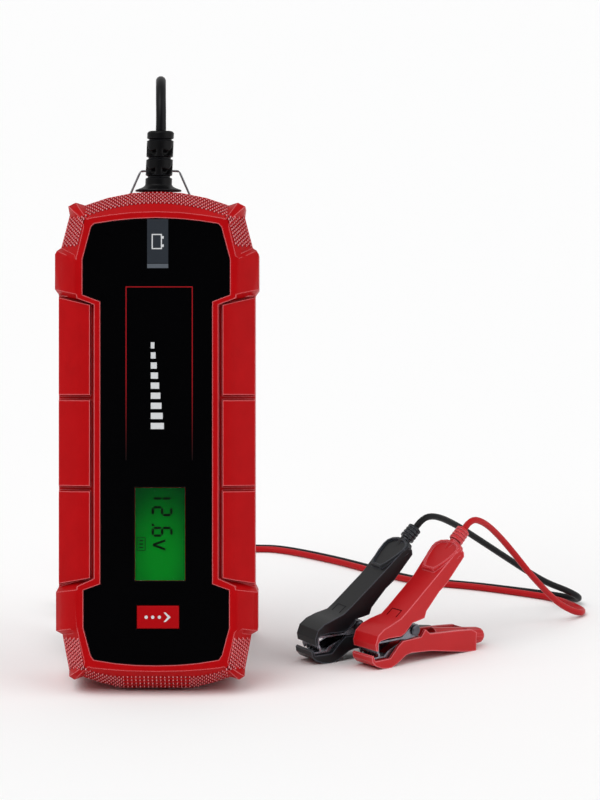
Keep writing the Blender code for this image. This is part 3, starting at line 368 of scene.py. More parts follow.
@dataclass(frozen=True)
class BacklitCrystal:
    """Liquid-crystal glass over a green backlight.

    The eye gets a glow that is strongest in the middle of its upper part and sinks toward the edges.
    """

    name: str
    lit: str
    edge: str
    middle: Pair
    reach: Pair
    glow: float = 0.3

    def build(self, tree: Tree, shader: Node) -> None:
        """Fades the glow away from its middle, a point and a reach in world millimetres."""
        place = add_node(tree, "ShaderNodeTexCoord").outputs["Object"]
        inputs = {
            "Vector": place,
            "Location": (-self.middle[0] / self.reach[0], 0.0, -self.middle[1] / self.reach[1]),
            "Scale": (1 / (self.reach[0] * MM), 0.0, 1 / (self.reach[1] * MM)),
        }
        near = add_node(tree, "ShaderNodeMapping", inputs).outputs["Vector"]
        away = add_node(tree, "ShaderNodeVectorMath", {0: near}, operation="LENGTH").outputs["Value"]
        inputs = {"Value": away, "From Min": 0.15, "From Max": 1.0}
        share = add_node(tree, "ShaderNodeMapRange", inputs, interpolation_type="SMOOTHSTEP")
        inputs = {"Factor": share.outputs["Result"], "A": linear(self.lit), "B": linear(self.edge)}
        green = add_node(tree, "ShaderNodeMix", inputs, data_type="RGBA").outputs["Result"]
        shader.inputs["Roughness"].default_value = 0.3
        shader.inputs["Specular IOR Level"].default_value = 0.0
        shader.inputs["Emission Strength"].default_value = self.glow
        tree.links.new(green, shader.inputs["Base Color"])
        tree.links.new(green, shader.inputs["Emission Color"])


@dataclass(frozen=True)
class ClearAcrylic:
    """Polished clear acrylic, which shows what is under it and a soft reflection."""

    name: str
    colour: str = "#F4FAF6"

    def build(self, tree: Tree, shader: Node) -> None:
        """Lets the light through and keeps a hint of handling in the gloss."""
        shader.inputs["Transmission Weight"].default_value = 1.0
        shader.inputs["IOR"].default_value = 1.49
        shader.inputs["Base Color"].default_value = linear(self.colour)
        cloud = noise_of(tree, 12.0)
        gloss = add_node(tree, "ShaderNodeMapRange", {"Value": cloud, "To Min": 0.0, "To Max": 0.04})
        tree.links.new(gloss.outputs["Result"], shader.inputs["Roughness"])


@dataclass(frozen=True)
class Laminate:
    """Glass-epoxy board: a solder mask over a woven ground, with tracks showing as paler lines."""

    name: str
    mask: str
    track: str
    pitch: float = 2.54

    def build(self, tree: Tree, shader: Node) -> None:
        """Draws tracks a pitch apart under the mask."""
        place = add_node(tree, "ShaderNodeTexCoord").outputs["Object"]
        inputs = {"Vector": place, "Scale": 1 / (self.pitch * MM), "Randomness": 0.9}
        cells = add_node(tree, "ShaderNodeTexVoronoi", inputs, distance="MANHATTAN").outputs["Distance"]
        inputs = {"Value": cells, "From Min": 0.42, "From Max": 0.5}
        lines = add_node(tree, "ShaderNodeMapRange", inputs).outputs["Result"]
        inputs = {"Factor": lines, "A": linear(self.mask), "B": linear(self.track)}
        mixed = add_node(tree, "ShaderNodeMix", inputs, data_type="RGBA")
        shader.inputs["Roughness"].default_value = 0.35
        tree.links.new(mixed.outputs["Result"], shader.inputs["Base Color"])


@dataclass(frozen=True)
class WoundCopper:
    """Enamelled copper wire in close turns, which shows as fine ridges with painted shade in the creases
    between them.
    """

    name: str
    colour: str
    # The dark colour between the turns: painted shade in the creases between the wires
    gap: str
    wire: float = 0.8

    def build(self, tree: Tree, shader: Node) -> None:
        """Draws turns of wire side by side up the winding, with painted shade between them."""
        place = add_node(tree, "ShaderNodeTexCoord").outputs["Object"]
        inputs = {"Vector": place, "Scale": 1 / (self.wire * MM * 6.283), "Distortion": 0.4}
        turns = add_node(tree, "ShaderNodeTexWave", inputs, bands_direction="Z").outputs["Fac"]
        # Painted shade: the gap colour darkens the creases between the turns
        inputs = {"Factor": turns, "A": linear(self.gap), "B": linear(self.colour)}
        mixed = add_node(tree, "ShaderNodeMix", inputs, data_type="RGBA")
        bump = add_node(tree, "ShaderNodeBump", {"Height": turns, "Distance": 0.3 * MM})
        shader.inputs["Metallic"].default_value = 1.0
        shader.inputs["Roughness"].default_value = 0.3
        tree.links.new(mixed.outputs["Result"], shader.inputs["Base Color"])
        tree.links.new(bump.outputs["Normal"], shader.inputs["Normal"])


# What both finishes of the knurl share, the painted-highlight red of the diamonds and the painted-shade red
# between them, and what both colours of polypropylene share
KNURLED = {"grain": 0.5, "grain_height": 0.012}
POLYPROPYLENE = {"roughness": 0.34, "grain": 0.8, "grain_height": 0.01, "shine": 0.3, "painted_edge_radius": 1.0}
# Each moulded plastic's fourth colour is painted on its rounded edges, a painted highlight on all but the key
RED_ABS = MouldedPlastic(
    "red_abs_moulded", "#B80A10", "#A6070C", "#F08A8E", 0.4, 0.6, 0.03, shine=0.06, painted_edge_radius=0.7
)
# The knurl's paler red is a painted highlight on the diamonds, and the dark red between them is painted shade
RED_KNURL_PAINTED_HIGHLIGHT = MouldedPlastic("red_abs_knurled_painted_highlight", "#D8323C", "#C8222C", "#FFC4C8", 0.34, **KNURLED)
RED_PAINTED_SHADE = MouldedPlastic(
    "red_plastic_painted_shade", "#3C0206", "#300204", "#5A1014", 0.6, shine=0.04, **KNURLED
)
# The key's darker edge colour is a painted shade round its rim
KEY_RED = MouldedPlastic("red_abs_key", "#B00A12", "#A2080E", "#5A0408", 0.4, 0.5, 0.008, shine=0.06)
CLAMP_RED = MouldedPlastic("red_polypropylene_moulded", "#C4161C", "#B81016", "#F0848C", **POLYPROPYLENE)
CLAMP_BLACK = MouldedPlastic("black_polypropylene_moulded", "#101216", "#0C0D10", "#565C66", **POLYPROPYLENE)
PLUG_BLACK = MouldedPlastic("black_vinyl_moulded", "#121215", "#0A0A0C", "#2C2D33", 0.44, 0.7, 0.015)
RELIEF_BLACK = MouldedPlastic("black_rubber_moulded", "#0A0A0C", "#050506", "#2A2B30", 0.4, 0.5, 0.01)
CAPACITOR_BLACK = MouldedPlastic("black_sleeve_shrunk", "#16161A", "#101013", "#2A2A30", 0.3)
RELAY_BLUE = MouldedPlastic("blue_polyester_moulded", "#1C4FA0", "#174288", "#4F7CC4", 0.35)
FERRITE = MouldedPlastic("ferrite_pressed", "#2B2B2E", "#222225", "#47474C", 0.7, 0.3, 0.02)
EPOXY_BLACK = MouldedPlastic("epoxy_moulded", "#1A1A1C", "#131315", "#303034", 0.55, 0.3, 0.01)
# Soft vinyl
CORD_BLACK = CordJacket("black_vinyl_extruded", "#0E0E11", "#070709")
CORD_RED = CordJacket("red_vinyl_extruded", "#BE1018", "#A80A12")
# Film, ink and display
FACE_FILM = OverlayFilm("black_polycarbonate_film", "#040405", "#020203")
INK_RED = PrintedInk("red_ink_fading", "#A01018", fade=(100.0, 150.0))
INK_SLATE = PrintedInk("slate_ink", "#2C3138")
INK_GREY = PrintedInk("grey_ink", "#5A6068")
INK_PALE = PrintedInk("pale_ink", "#D8DADC")
SEGMENT_DARK = PrintedInk("liquid_crystal_dark", "#04200A", "#062A0E", None, 0.3)
LENS = ClearAcrylic("clear_acrylic_polished")
# Metals
JAW_STEEL = PlatedSteel("zinc_plated_steel_stamped", "#A4A5AE", "#4A4B54", 0.26)
PIN_STEEL = PlatedSteel("steel_pin_oiled", "#6A6B72", "#3C3D44", 0.3)
SPRING_STEEL = PlatedSteel("spring_steel_drawn", "#7C7D82", "#4A4B50", 0.3, 1.5)
BAIL_STEEL = PlatedSteel("stainless_wire_drawn", "#8A8C90", "#6C6E72", 0.34, 1.5)
SCREW_STEEL = PlatedSteel("zinc_plated_steel_turned", "#9C9DA0", "#6E7074", 0.34)
PIN_BRASS = PlatedSteel("nickel_plated_brass_turned", "#CFCDC6", "#A5A29A", 0.2)
ALUMINIUM = PlatedSteel("aluminium_extruded", "#B9BBBE", "#9A9CA0", 0.35, 4.0)
FUSE_CAPS = PlatedSteel("fuse_glass_and_caps", "#C4C6C4", "#A8ACA8", 0.12)
# Boards and windings
BOARD = Laminate("glass_epoxy_board", "#14502A", "#2C7A46")
COPPER = WoundCopper("enamelled_copper_wound_painted_shade", "#B8662E", "#5C2C12")


# Meshes


def copy_of(node: str) -> BMesh:
    """Copies a CAD node's mesh with its loose triangles joined into faces.

    Args:
        node: The node's name.

    Returns:
        The copy, in world millimetres.
    """
    bm = bmesh.new()
    bm.from_mesh(bpy.data.objects[node].data)
    bm.transform(Matrix.Scale(1 / MM, 4))
    bmesh.ops.remove_doubles(bm, verts=bm.verts, dist=0.003)
    bmesh.ops.dissolve_limit(bm, angle_limit=radians(0.35), verts=bm.verts, edges=bm.edges)
    return bm


def ease_edges(bm: BMesh, width: float, above: float = 30.0, segments: int = 2) -> None:
    """Rounds the sharp edges of a mesh that are long enough to be rounded.

    Args:
        bm: The mesh.
        width: The rounding's width in millimetres.
        above: The least angle in degrees that counts as sharp.
        segments: The faces across the rounding.
    """
    sharp = [
        edge
        for edge in bm.edges
        if len(edge.link_faces) == 2
        and edge.calc_face_angle(0.0) > radians(above)
        and min(e.calc_length() for v in edge.verts for e in v.link_edges) > 1.6 * width
    ]
    bmesh.ops.bevel(
        bm,
        geom=sharp,
        offset=width,
        offset_type="OFFSET",
        affect="EDGES",
        segments=segments,
        profile=0.5,
        material=-1,
        clamp_overlap=True,
    )


def turned(profile: Sequence[Pair], steps: int = 40) -> BMesh:
    """Turns a profile about the third axis.

    Args:
        profile: The (radius, height) points, from the lower end to the upper end.
        steps: The faces round it.

    Returns:
        The closed turned mesh.
    """
    bm = bmesh.new()
    points = [(0.0, profile[0][1]), *profile, (0.0, profile[-1][1])]
    verts = [bm.verts.new((radius, 0.0, height)) for radius, height in points]
    edges = [bm.edges.new(pair) for pair in zip(verts, verts[1:])]
    bmesh.ops.spin(
        bm, geom=verts + edges, cent=(0, 0, 0), axis=(0, 0, 1), angle=2 * pi, steps=steps, use_merge=True
    )
    bmesh.ops.remove_doubles(bm, verts=bm.verts, dist=0.001)
    bmesh.ops.recalc_face_normals(bm, faces=bm.faces)
    return bm


def axis_at(at: Sequence[float], toward: Sequence[float]) -> Matrix:
    """Gives the matrix that carries the third axis to a line.

    Args:
        at: Where the origin goes.
        toward: Where the third axis points.

    Returns:
        The matrix.
    """
    return Matrix.Translation(at) @ Vector(toward).normalized().to_track_quat("Z", "Y").to_matrix().to_4x4()


def plate(outline: Sequence[Pair], near: float, far: float) -> BMesh:
    """Makes a flat plate that faces the front of the housing.

    Args:
        outline: The (across, up) corners.
        near: The depth of its front.
        far: The depth of its back.

    Returns:
        The closed plate.
    """
    bm = bmesh.new()
    face = bm.faces.new([bm.verts.new((a, far, b)) for a, b in outline])
    grown = bmesh.ops.extrude_face_region(bm, geom=[face])
    moved = [thing for thing in grown["geom"] if isinstance(thing, bmesh.types.BMVert)]
    bmesh.ops.translate(bm, verts=moved, vec=(0, near - far, 0))
    bmesh.ops.recalc_face_normals(bm, faces=bm.faces)
    return bm


def box_outline(low: Pair, high: Pair) -> list[Pair]:
    """Gives a rectangle's corners from its lowest and highest corner."""
    return [(low[0], low[1]), (high[0], low[1]), (high[0], high[1]), (low[0], high[1])]


def frame_outlines(low: Pair, high: Pair, thin: float) -> list[list[Pair]]:
    """Gives the four strokes of a rectangular frame.

    Args:
        low: Its lowest corner.
        high: Its highest corner.
        thin: The strokes' width.

    Returns:
        The strokes' outlines.
    """
    (left, foot), (right, head) = low, high
    return [
        box_outline((left, foot), (left + thin, head)),
        box_outline((right - thin, foot), (right, head)),
        box_outline((left + thin, foot), (right - thin, foot + thin)),
        box_outline((left + thin, head - thin), (right - thin, head)),
    ]


def merged(meshes: Iterable[BMesh]) -> BMesh:
    """Gathers several meshes into one.

    Args:
        meshes: The meshes, which are freed.

    Returns:
        The mesh that holds them all.
    """
    whole = bmesh.new()
    scratch = bpy.data.meshes.new("scratch")
    for bm in meshes:
        bm.to_mesh(scratch)
        bm.free()
        whole.from_mesh(scratch)
    bpy.data.meshes.remove(scratch)
    return whole


def piece_of(mesh: bpy.types.Mesh, finish: Finish, sharp: float) -> Object:
    """Makes the object of a mesh, smooth but for its sharp edges.

    Args:
        mesh: The mesh, in metres in world space.
        finish: Its finish.
        sharp: The angle in degrees above which an edge is drawn sharp.

    Returns:
        The object, at the origin.
    """
    mesh.shade_smooth()
    mesh.set_sharp_from_angle(angle=radians(sharp))
    mesh.materials.append(material_of(finish))
    piece = bpy.data.objects.new(mesh.name, mesh)
    bpy.context.scene.collection.objects.link(piece)
    return piece


def publish(
    bm: BMesh,
    name: str,
    finish: Finish,
    body: Body,
    stands_for: Sequence[str] = (),
    frame: Matrix = WORLD,
    sharp: float = 34.0,
) -> Object:
    """Turns a mesh in millimetres into a finished piece that rides on a body.

    Args:
        bm: The mesh, which is freed.
        name: The piece's name.
        finish: Its finish.
        body: The body that it moves with.
        stands_for: The CAD nodes that it replaces.
        frame: The frame that the mesh was built in.
        sharp: The angle in degrees above which an edge is drawn sharp.

    Returns:
        The piece, with its object at the origin.
    """
    bm.transform(Matrix.Scale(MM, 4) @ frame)
    mesh = bpy.data.meshes.new(name)
    bm.to_mesh(mesh)
    bm.free()
    piece = piece_of(mesh, finish, sharp)
    # Wide faces keep their own normal, so that only the rounded edges shade as round
    piece.modifiers.new("even_normals", "WEIGHTED_NORMAL").keep_sharp = True
    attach(piece, body.value)
    if stands_for:
        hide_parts(*stands_for)
    log.info("%s: %d faces", name, len(mesh.polygons))
    return piece


def dress(node: str, finish: Finish) -> None:
    """Gives a CAD node that stays a better finish.

    Args:
        node: The node's name.
        finish: Its finish.
    """
    for place in bpy.data.objects[node].material_slots:
        place.material = material_of(finish)


# Cords, whose routes are in world millimetres


def smooth_route(points: Sequence[Sequence[float]], spacing: float) -> list[Vector]:
    """Runs a smooth curve through a route's points, with its first and last steps straight.

    Args:
        points: The route.
        spacing: The distance between the points of the curve.

    Returns:
        The curve's points.
    """
    knots = [Vector(point) for point in points]
    fine = [knots[1]]
    for p0, p1, p2, p3 in zip(knots, knots[1:], knots[2:], knots[3:]):
        for step in range(1, 25):
            t = step / 24
            slope, square = p2 - p0, 2 * p0 - 5 * p1 + 4 * p2 - p3
            cube = 3 * p1 - p0 - 3 * p2 + p3
            fine.append(p1 + (slope * t + square * t**2 + cube * t**3) / 2)
    reach = [0.0]
    for one, other in zip(fine, fine[1:]):
        reach.append(reach[-1] + (other - one).length)
    count = max(2, round(reach[-1] / spacing))
    out, k = [knots[0]], 0
    for i in range(count + 1):
        wanted = reach[-1] * i / count
        while k < len(fine) - 2 and reach[k + 1] < wanted:
            k += 1
        share = (wanted - reach[k]) / (reach[k + 1] - reach[k])
        out.append(fine[k].lerp(fine[k + 1], min(share, 1.0)))
    return [*out, knots[-1]]


def beside(points: Sequence[Sequence[float]], offset: float) -> list[Vector]:
    """Moves a route sideways in plan.

    Args:
        points: The route.
        offset: How far to the left of the way that it runs.

    Returns:
        The moved route.
    """
    knots = [Vector(point) for point in points]
    out = []
    for i, point in enumerate(knots):
        way = knots[min(i + 1, len(knots) - 1)] - knots[max(i - 1, 0)]
        out.append(point + Vector((-way.y, way.x, 0)).normalized() * offset)
    return out


def straight_from(point: Sequence[float], way: Sequence[float]) -> list[Vector]:
    """Gives the first points of a cord that leaves a face squarely."""
    return [Vector(point) + Vector(way).normalized() * step for step in (0.3, 3.2, 6.4)]


@dataclass(frozen=True)
class Coil:
    """A neat coil in two layers: in on one layer, over in half a turn, and out on the other."""

    centre: Pair
    radius: float
    turns_in: int
    start: float
    spin: int
    low_first: bool
    base: float
    diameter: float
    pitch: float
    offset: float = 0.0
    per_turn: int = 72

    def path(self) -> list[Vector]:
        """Works out the cord's middle line.

        Returns:
            Its points, with a straight step at each end.
        """
        steps_in, steps_turn = self.per_turn * self.turns_in, self.per_turn // 2
        total = 2 * steps_in + steps_turn
        inner = self.radius - self.pitch * self.turns_in
        out = []
        for i in range(total + 1):
            angle = self.start + self.spin * 2 * pi * i / self.per_turn
            if i <= steps_in:
                reach, level = self.radius - self.pitch * i / self.per_turn, 0.0
            elif i < steps_in + steps_turn:
                share = (i - steps_in) / steps_turn
                reach, level = inner - 0.25 * self.pitch * sin(pi * share), (1 - cos(pi * share)) / 2
            else:
                reach, level = inner + self.pitch * (i - steps_in - steps_turn) / self.per_turn, 1.0
            height = self.base + (self.diameter + 0.5) * (level if self.low_first else 1 - level)
            reach += self.offset
            x, y = self.centre[0] + reach * cos(angle), self.centre[1] + reach * sin(angle)
            out.append(Vector((x, y, height)))
        last = self.start + self.spin * 2 * pi * total / self.per_turn
        first_way = Vector((-sin(self.start), cos(self.start), 0)) * self.spin
        last_way = Vector((-sin(last), cos(last), 0)) * self.spin
        return [out[0] - first_way * self.diameter, *out, out[-1] + last_way * self.diameter]


def tube(name: str, path: Sequence[Vector], diameter: float, finish: Finish) -> Object:
    """Makes a mesh tube along a path.

    Args:
        name: The tube's name.
        path: Its middle line, in world millimetres.
        diameter: Its diameter.
        finish: Its finish.

    Returns:
        The tube's object, in metres, which rides on nothing yet.
    """
    curve = bpy.data.curves.new(name, "CURVE")
    curve.dimensions = "3D"
    curve.bevel_depth = diameter / 2 * MM
    curve.bevel_resolution = 4
    curve.use_fill_caps = True
    spline = curve.splines.new("POLY")
    spline.points.add(len(path) - 1)
    for knot, point in zip(spline.points, path):
        knot.co = (*(point * MM), 1.0)
    guide = bpy.data.objects.new(name + "_line", curve)
    mesh = bpy.data.meshes.new_from_object(guide)
    bpy.data.objects.remove(guide)
    bpy.data.curves.remove(curve)
    bm = bmesh.new()
    bm.from_mesh(mesh)
    bmesh.ops.remove_doubles(bm, verts=bm.verts, dist=1e-6)
    bm.to_mesh(mesh)
    bm.free()
    mesh.name = name
    return piece_of(mesh, finish, 50.0)


def length_of(points: Sequence[Vector]) -> float:
    """Adds up the steps of a path."""
    return sum((b - a).length for a, b in zip(points, points[1:]))


def on_body(across: float, depth: float, up: float) -> Vector:
    """Gives a point of the housing's frame in world millimetres."""
    return HOUSING @ Vector((across, depth, up))


# Sub-assemblies


@dataclass
class Shells:
    """The two halves of the housing, which meet on the parting plane."""

    edge: float = 0.28

    def build(self) -> None:
        """Builds both halves from their CAD forms, with their edges rounded as moulded."""
        for node in ("front_shell", "rear_shell"):
            bm = copy_of(node)
            ease_edges(bm, self.edge, 38.0)
            publish(bm, node + "_moulded", RED_ABS, Body.ROOT, (node,), sharp=40.0)


@dataclass
class Knurl:
    """Small raised diamonds on the bands of both ends and on the flanks of the corners, in a paler red that
    paints a highlight, each on a flat dark patch of painted shade.
    """

    column: float = 0.915
    row: float = 1.52
    dash: Triple = (0.42, 0.7, 0.5)
    # The flat dark patch under each diamond, painted shade between the knurls
    painted_shade_patch: Triple = (0.93, 0.78, 0.1)
    root: float = 0.04
    taper: float = 0.55
    first: float = 0.7
    ribbed_half: float = 14.0
    band_half: float = 31.0
    band_reach: float = 6.0
    top_middle: float = 220.0
    bottom_middle: float = 0.0
    top_bow: float = 0.00608
    bottom_flat: float = 15.0
    bottom_bow: float = 0.0135
    skin: BVHTree = field(init=False)

    def build(self) -> None:
        """Places the diamonds by casting from in front onto the front shell."""
        shell = copy_of("front_shell")
        shell.transform(HOUSING.inverted())
        self.skin = BVHTree.FromBMesh(shell)
        shell.free()
        spots = {"top": self.band_spots(True), "bottom": self.band_spots(False), "corner": self.flank_spots()}
        for name, places in spots.items():
            # First the dark patches of painted shade, then the diamonds in their paler painted-highlight red
            for kind, size, finish in (("valleys", self.painted_shade_patch, RED_PAINTED_SHADE), ("knurl", self.dash, RED_KNURL_PAINTED_HIGHLIGHT)):
                made = self.spread(places, size)
                publish(made, f"{name}_{kind}", finish, Body.ROOT, frame=HOUSING)

    def band_spots(self, top: bool) -> list[Pair]:
        """Gives the places of a band's diamonds, which turn to upright ribs in the bottom band's middle.

        Args:
            top: Whether it is the top band.

        Returns:
            The (across, up) places.
        """
        spots = []
        count = round(self.band_half / self.column)
        reach = self.band_reach if top else self.band_reach - 0.6
        for i in range(-count, count + 1):
            across = i * self.column
            if not top and i % 2 and abs(across) < self.ribbed_half:
                continue
            past = across if top else max(0.0, abs(across) - self.bottom_flat)
            bow = (self.top_bow if top else self.bottom_bow) * past**2
            inward = self.first + (0.5 * self.row if i % 2 else 0.0)
            while inward < reach:
                up = self.top_middle - bow - inward if top else self.bottom_middle + bow + inward
                spots.append((across, up))
                inward += self.row
        return spots

    def flank_spots(self) -> list[Pair]:
        """Gives the (across, up) places of the diamonds on the four flanks beside the corners."""
        spots = []
        for low, high, foot, head in ((195.9, 208.2, 42.3, 39.0), (9.0, 22.0, 39.2, 41.6)):
            rows = round((high - low) / (0.5 * self.row))
            for j in range(rows + 1):
                share = j / rows
                edge = foot + (head - foot) * share
                across = edge - 0.8 - (self.column if j % 2 else 0.0)
                for _ in range(4):
                    spots += [(across, low + (high - low) * share), (-across, low + (high - low) * share)]
                    across -= 2 * self.column
        return spots

    def spread(self, spots: Iterable[Pair], size: Triple) -> BMesh:
        """Raises one diamond on the skin at each spot.

        Args:
            spots: The (across, up) places.
            size: A diamond's half width, half length and height.

        Returns:
            The diamonds as one mesh.
        """
        bm = bmesh.new()
        for across, up in spots:
            hit, normal, _, _ = self.skin.ray_cast(Vector((across, -60.0, up)), Vector((0, 1, 0)))
            if hit is None:
                continue
            side = Vector((1, 0, 0)).cross(normal).normalized()
            turn = Matrix((side.cross(normal), side, normal)).transposed().to_4x4()
            foot = Matrix.Translation(hit + normal * (size[2] / 2 - self.root))
            bmesh.ops.create_cone(
                bm,
                cap_ends=True,
                segments=6,
                radius1=1.0,
                radius2=self.taper,
                depth=1.0,
                matrix=foot @ turn @ Matrix.Diagonal((*size, 1.0)),
            )
        return bm


@dataclass
class Face:
    """The black film on the front and what is printed on it."""

    front: float = -20.9
    ink: float = 0.03
    label: tuple[Pair, Pair] = ((-4.0, 187.9), (5.3, 207.4))
    label_bar: tuple[Pair, Pair] = ((-4.0, 185.7), (5.3, 187.6))
    line_left: float = -13.3
    line_right: float = 15.9
    line_top: float = 177.4
    line_low: float = 101.0
    line: float = 0.42
    gauge_top: float = 153.0
    gauge_low: float = 113.0
    gauge_steps: int = 9
    gauge_left: float = -2.4
    gauge_first: float = 1.6
    gauge_growth: float = 4.2
    gauge_fill: float = 0.62
    # The sign's middle across and up, and its size
    sign: Triple = (0.7, 197.4, 5.4)

    def build(self) -> None:
        """Builds the film and its prints."""
        bm = copy_of("front_panel")
        ease_edges(bm, 0.18, 40.0)
        publish(bm, "face_film", FACE_FILM, Body.ROOT, ("front_panel",))
        self.printed("label_ground", [box_outline(*self.label)], INK_SLATE)
        self.printed("label_bar", [box_outline(*self.label_bar)], INK_GREY)
        self.printed("face_line", self.line_parts(), INK_RED)
        self.printed("battery_sign", self.battery_sign(*self.sign), INK_PALE, 2)
        self.printed("level_gauge", self.gauge(), INK_PALE)

    def printed(self, name: str, outlines: Iterable[Sequence[Pair]], ink: Finish, layer: int = 1) -> None:
        """Prints some outlines on the film.

        Args:
            name: The print's name.
            outlines: The shapes, as (across, up) corners.
            ink: The ink.
            layer: How many inks deep it lies.
        """
        near = self.front - self.ink * layer
        plates = [plate(outline, near, near + self.ink * 0.7) for outline in outlines]
        publish(merged(plates), name, ink, Body.ROOT, frame=HOUSING)

    def line_parts(self) -> list[list[Pair]]:
        """Gives the three strokes of the line that frames the middle of the face."""
        half = self.line / 2
        left, right, top, low = self.line_left, self.line_right, self.line_top, self.line_low
        return [
            box_outline((left - half, low), (left + half, top + half)),
            box_outline((right - half, low), (right + half, top + half)),
            box_outline((left + half, top - half), (right - half, top + half)),
        ]

    def battery_sign(self, across: float, up: float, size: float) -> list[list[Pair]]:
        """Draws a plain battery with its two terminals, turned to read down the face.

        Args:
            across: Its middle across.
            up: Its middle up.
            size: Its height in millimetres.

        Returns:
            The strokes' outlines.
        """
        wide, stroke = size * 0.62, size * 0.09
        left, right = across - size / 2, across + size * 0.34
        low, high = up - wide, up + wide
        return [
            *frame_outlines((left, low), (right, high), stroke),
            box_outline((right, low + wide * 0.28), (right + stroke * 1.6, low + wide * 0.62)),
            box_outline((right, high - wide * 0.62), (right + stroke * 1.6, high - wide * 0.28)),
        ]

    def gauge(self) -> list[list[Pair]]:
        """Draws a plain rising row of bars down the middle of the face."""
        out = []
        pitch = (self.gauge_top - self.gauge_low) / self.gauge_steps
        for i in range(self.gauge_steps):
            top = self.gauge_top - i * pitch
            right = self.gauge_left + self.gauge_first + self.gauge_growth * i / (self.gauge_steps - 1)
            out.append(box_outline((self.gauge_left, top - pitch * self.gauge_fill), (right, top)))
        return out


@dataclass
class Display:
    """The backlit display: a lens in the face, liquid-crystal glass under it and its dark segments."""

    centre: Pair = (1.7, 68.4)
    size: Pair = (22.5, 41.4)
    front: float = -20.9
    lens: float = 0.34
    gap: float = 0.3
    digit: Pair = (8.2, 3.4)
    stroke: float = 1.15
    first: float = 86.0
    glow_reach: Pair = (21.0, 36.0)
    glow_drop: float = 7.0
    glass_back: float = -19.95
    sign: tuple[Pair, Pair] = ((-8.6, 61.0), (-4.7, 67.1))

    def build(self) -> None:
        """Builds the lens, the lit glass and the segments."""
        width, height = (side / 2 - self.gap for side in self.size)
        a, b = self.centre
        whole = box_outline((a - width, b - height), (a + width, b + height))
        lens = plate(whole, self.front, self.front + self.lens)
        ease_edges(lens, 0.08, 40.0)
        publish(lens, "display_lens", LENS, Body.ROOT, ("display_window",), HOUSING)
        middle = on_body(a, 0, b - self.glow_drop)
        spot = (middle.x, middle.z)
        lit = BacklitCrystal("liquid_crystal_backlit", "#0C8A26", "#06421A", spot, self.glow_reach)
        depth = self.front + self.lens + 0.12
        glass = merged([plate(whole, depth, self.glass_back), self.module()])
        publish(glass, "display_glass", lit, Body.ROOT, ("display_module",), HOUSING)
        segments = [plate(outline, depth - 0.05, depth - 0.01) for outline in self.reading()]
        publish(merged(segments), "display_segments", SEGMENT_DARK, Body.ROOT, frame=HOUSING)

    def module(self) -> BMesh:
        """Copies the display module into the housing's frame."""
        bm = copy_of("display_module")
        bm.transform(HOUSING.inverted())
        return bm

    def along(self, points: Iterable[Pair], start: float) -> list[Pair]:
        """Turns (forward, rise) points of a line of writing that reads down the face to (across, up)."""
        base = self.centre[0] - 3.2
        return [(base + rise, start - forward) for forward, rise in points]

    def digit_strokes(self, lit: str, start: float) -> list[list[Pair]]:
        """Draws a seven-segment digit.

        Args:
            lit: The lit segments, by their usual letters from a to g.
            start: Where it starts, up the face.

        Returns:
            The segments' outlines.
        """
        tall, wide = self.digit
        half = self.stroke / 2
        spans = {
            "a": ((0, tall), (wide, tall)),
            "b": ((wide, tall / 2), (wide, tall)),
            "c": ((wide, 0), (wide, tall / 2)),
            "d": ((0, 0), (wide, 0)),
            "e": ((0, 0), (0, tall / 2)),
            "f": ((0, tall / 2), (0, tall)),
            "g": ((0, tall / 2), (wide, tall / 2)),
        }
        out = []
        for letter in lit:
            (x0, y0), (x1, y1) = spans[letter]
            way = Vector((x1 - x0, y1 - y0)).normalized()
            side = Vector((-way.y, way.x)) * half
            tip = way * half
            one, two = Vector((x0, y0)) + tip * 0.25, Vector((x1, y1)) - tip * 0.25
            ring = [one, one + tip + side, two - tip + side, two, two - tip - side, one + tip - side]
            out.append(self.along([(p.x, p.y) for p in ring], start))
        return out

    def reading(self) -> list[list[Pair]]:
        """Draws a plain voltage, its unit and a small framed sign."""
        _, wide = self.digit
        step = wide + 3.9
        strokes = self.digit_strokes("bc", self.first + 1.5)
        strokes += self.digit_strokes("abged", self.first - step + 1.5)
        strokes += self.digit_strokes("acdefg", self.first - 2 * step - 0.3)
        dot = box_outline((0.0, -0.5), (1.1, 0.6))
        strokes.append(self.along(dot, self.first - 2 * step + 1.6))
        unit = self.first - 3 * step + 1.5
        foot, tall, half = 2.0, 5.6, 0.55
        for head in (0.0, 4.0):
            ring = [(foot - half, 0.0), (foot + half, 0.0), (head + half, tall), (head - half, tall)]
            strokes.append(self.along(ring, unit))
        return strokes + self.small_sign(*self.sign)

    def small_sign(self, low: Pair, high: Pair, thin: float = 0.3) -> list[list[Pair]]:
        """Draws a small frame that holds three bars.

        Args:
            low: Its lowest corner.
            high: Its highest corner.
            thin: The stroke's width.

        Returns:
            The strokes' outlines.
        """
        (left, foot), (right, _) = low, high
        out = frame_outlines(low, high, thin)
        for i in range(3):
            up = foot + 1.2 + 1.5 * i
            out.append(box_outline((left + 1.0, up), (right - 1.0, up + 0.6)))
        return out


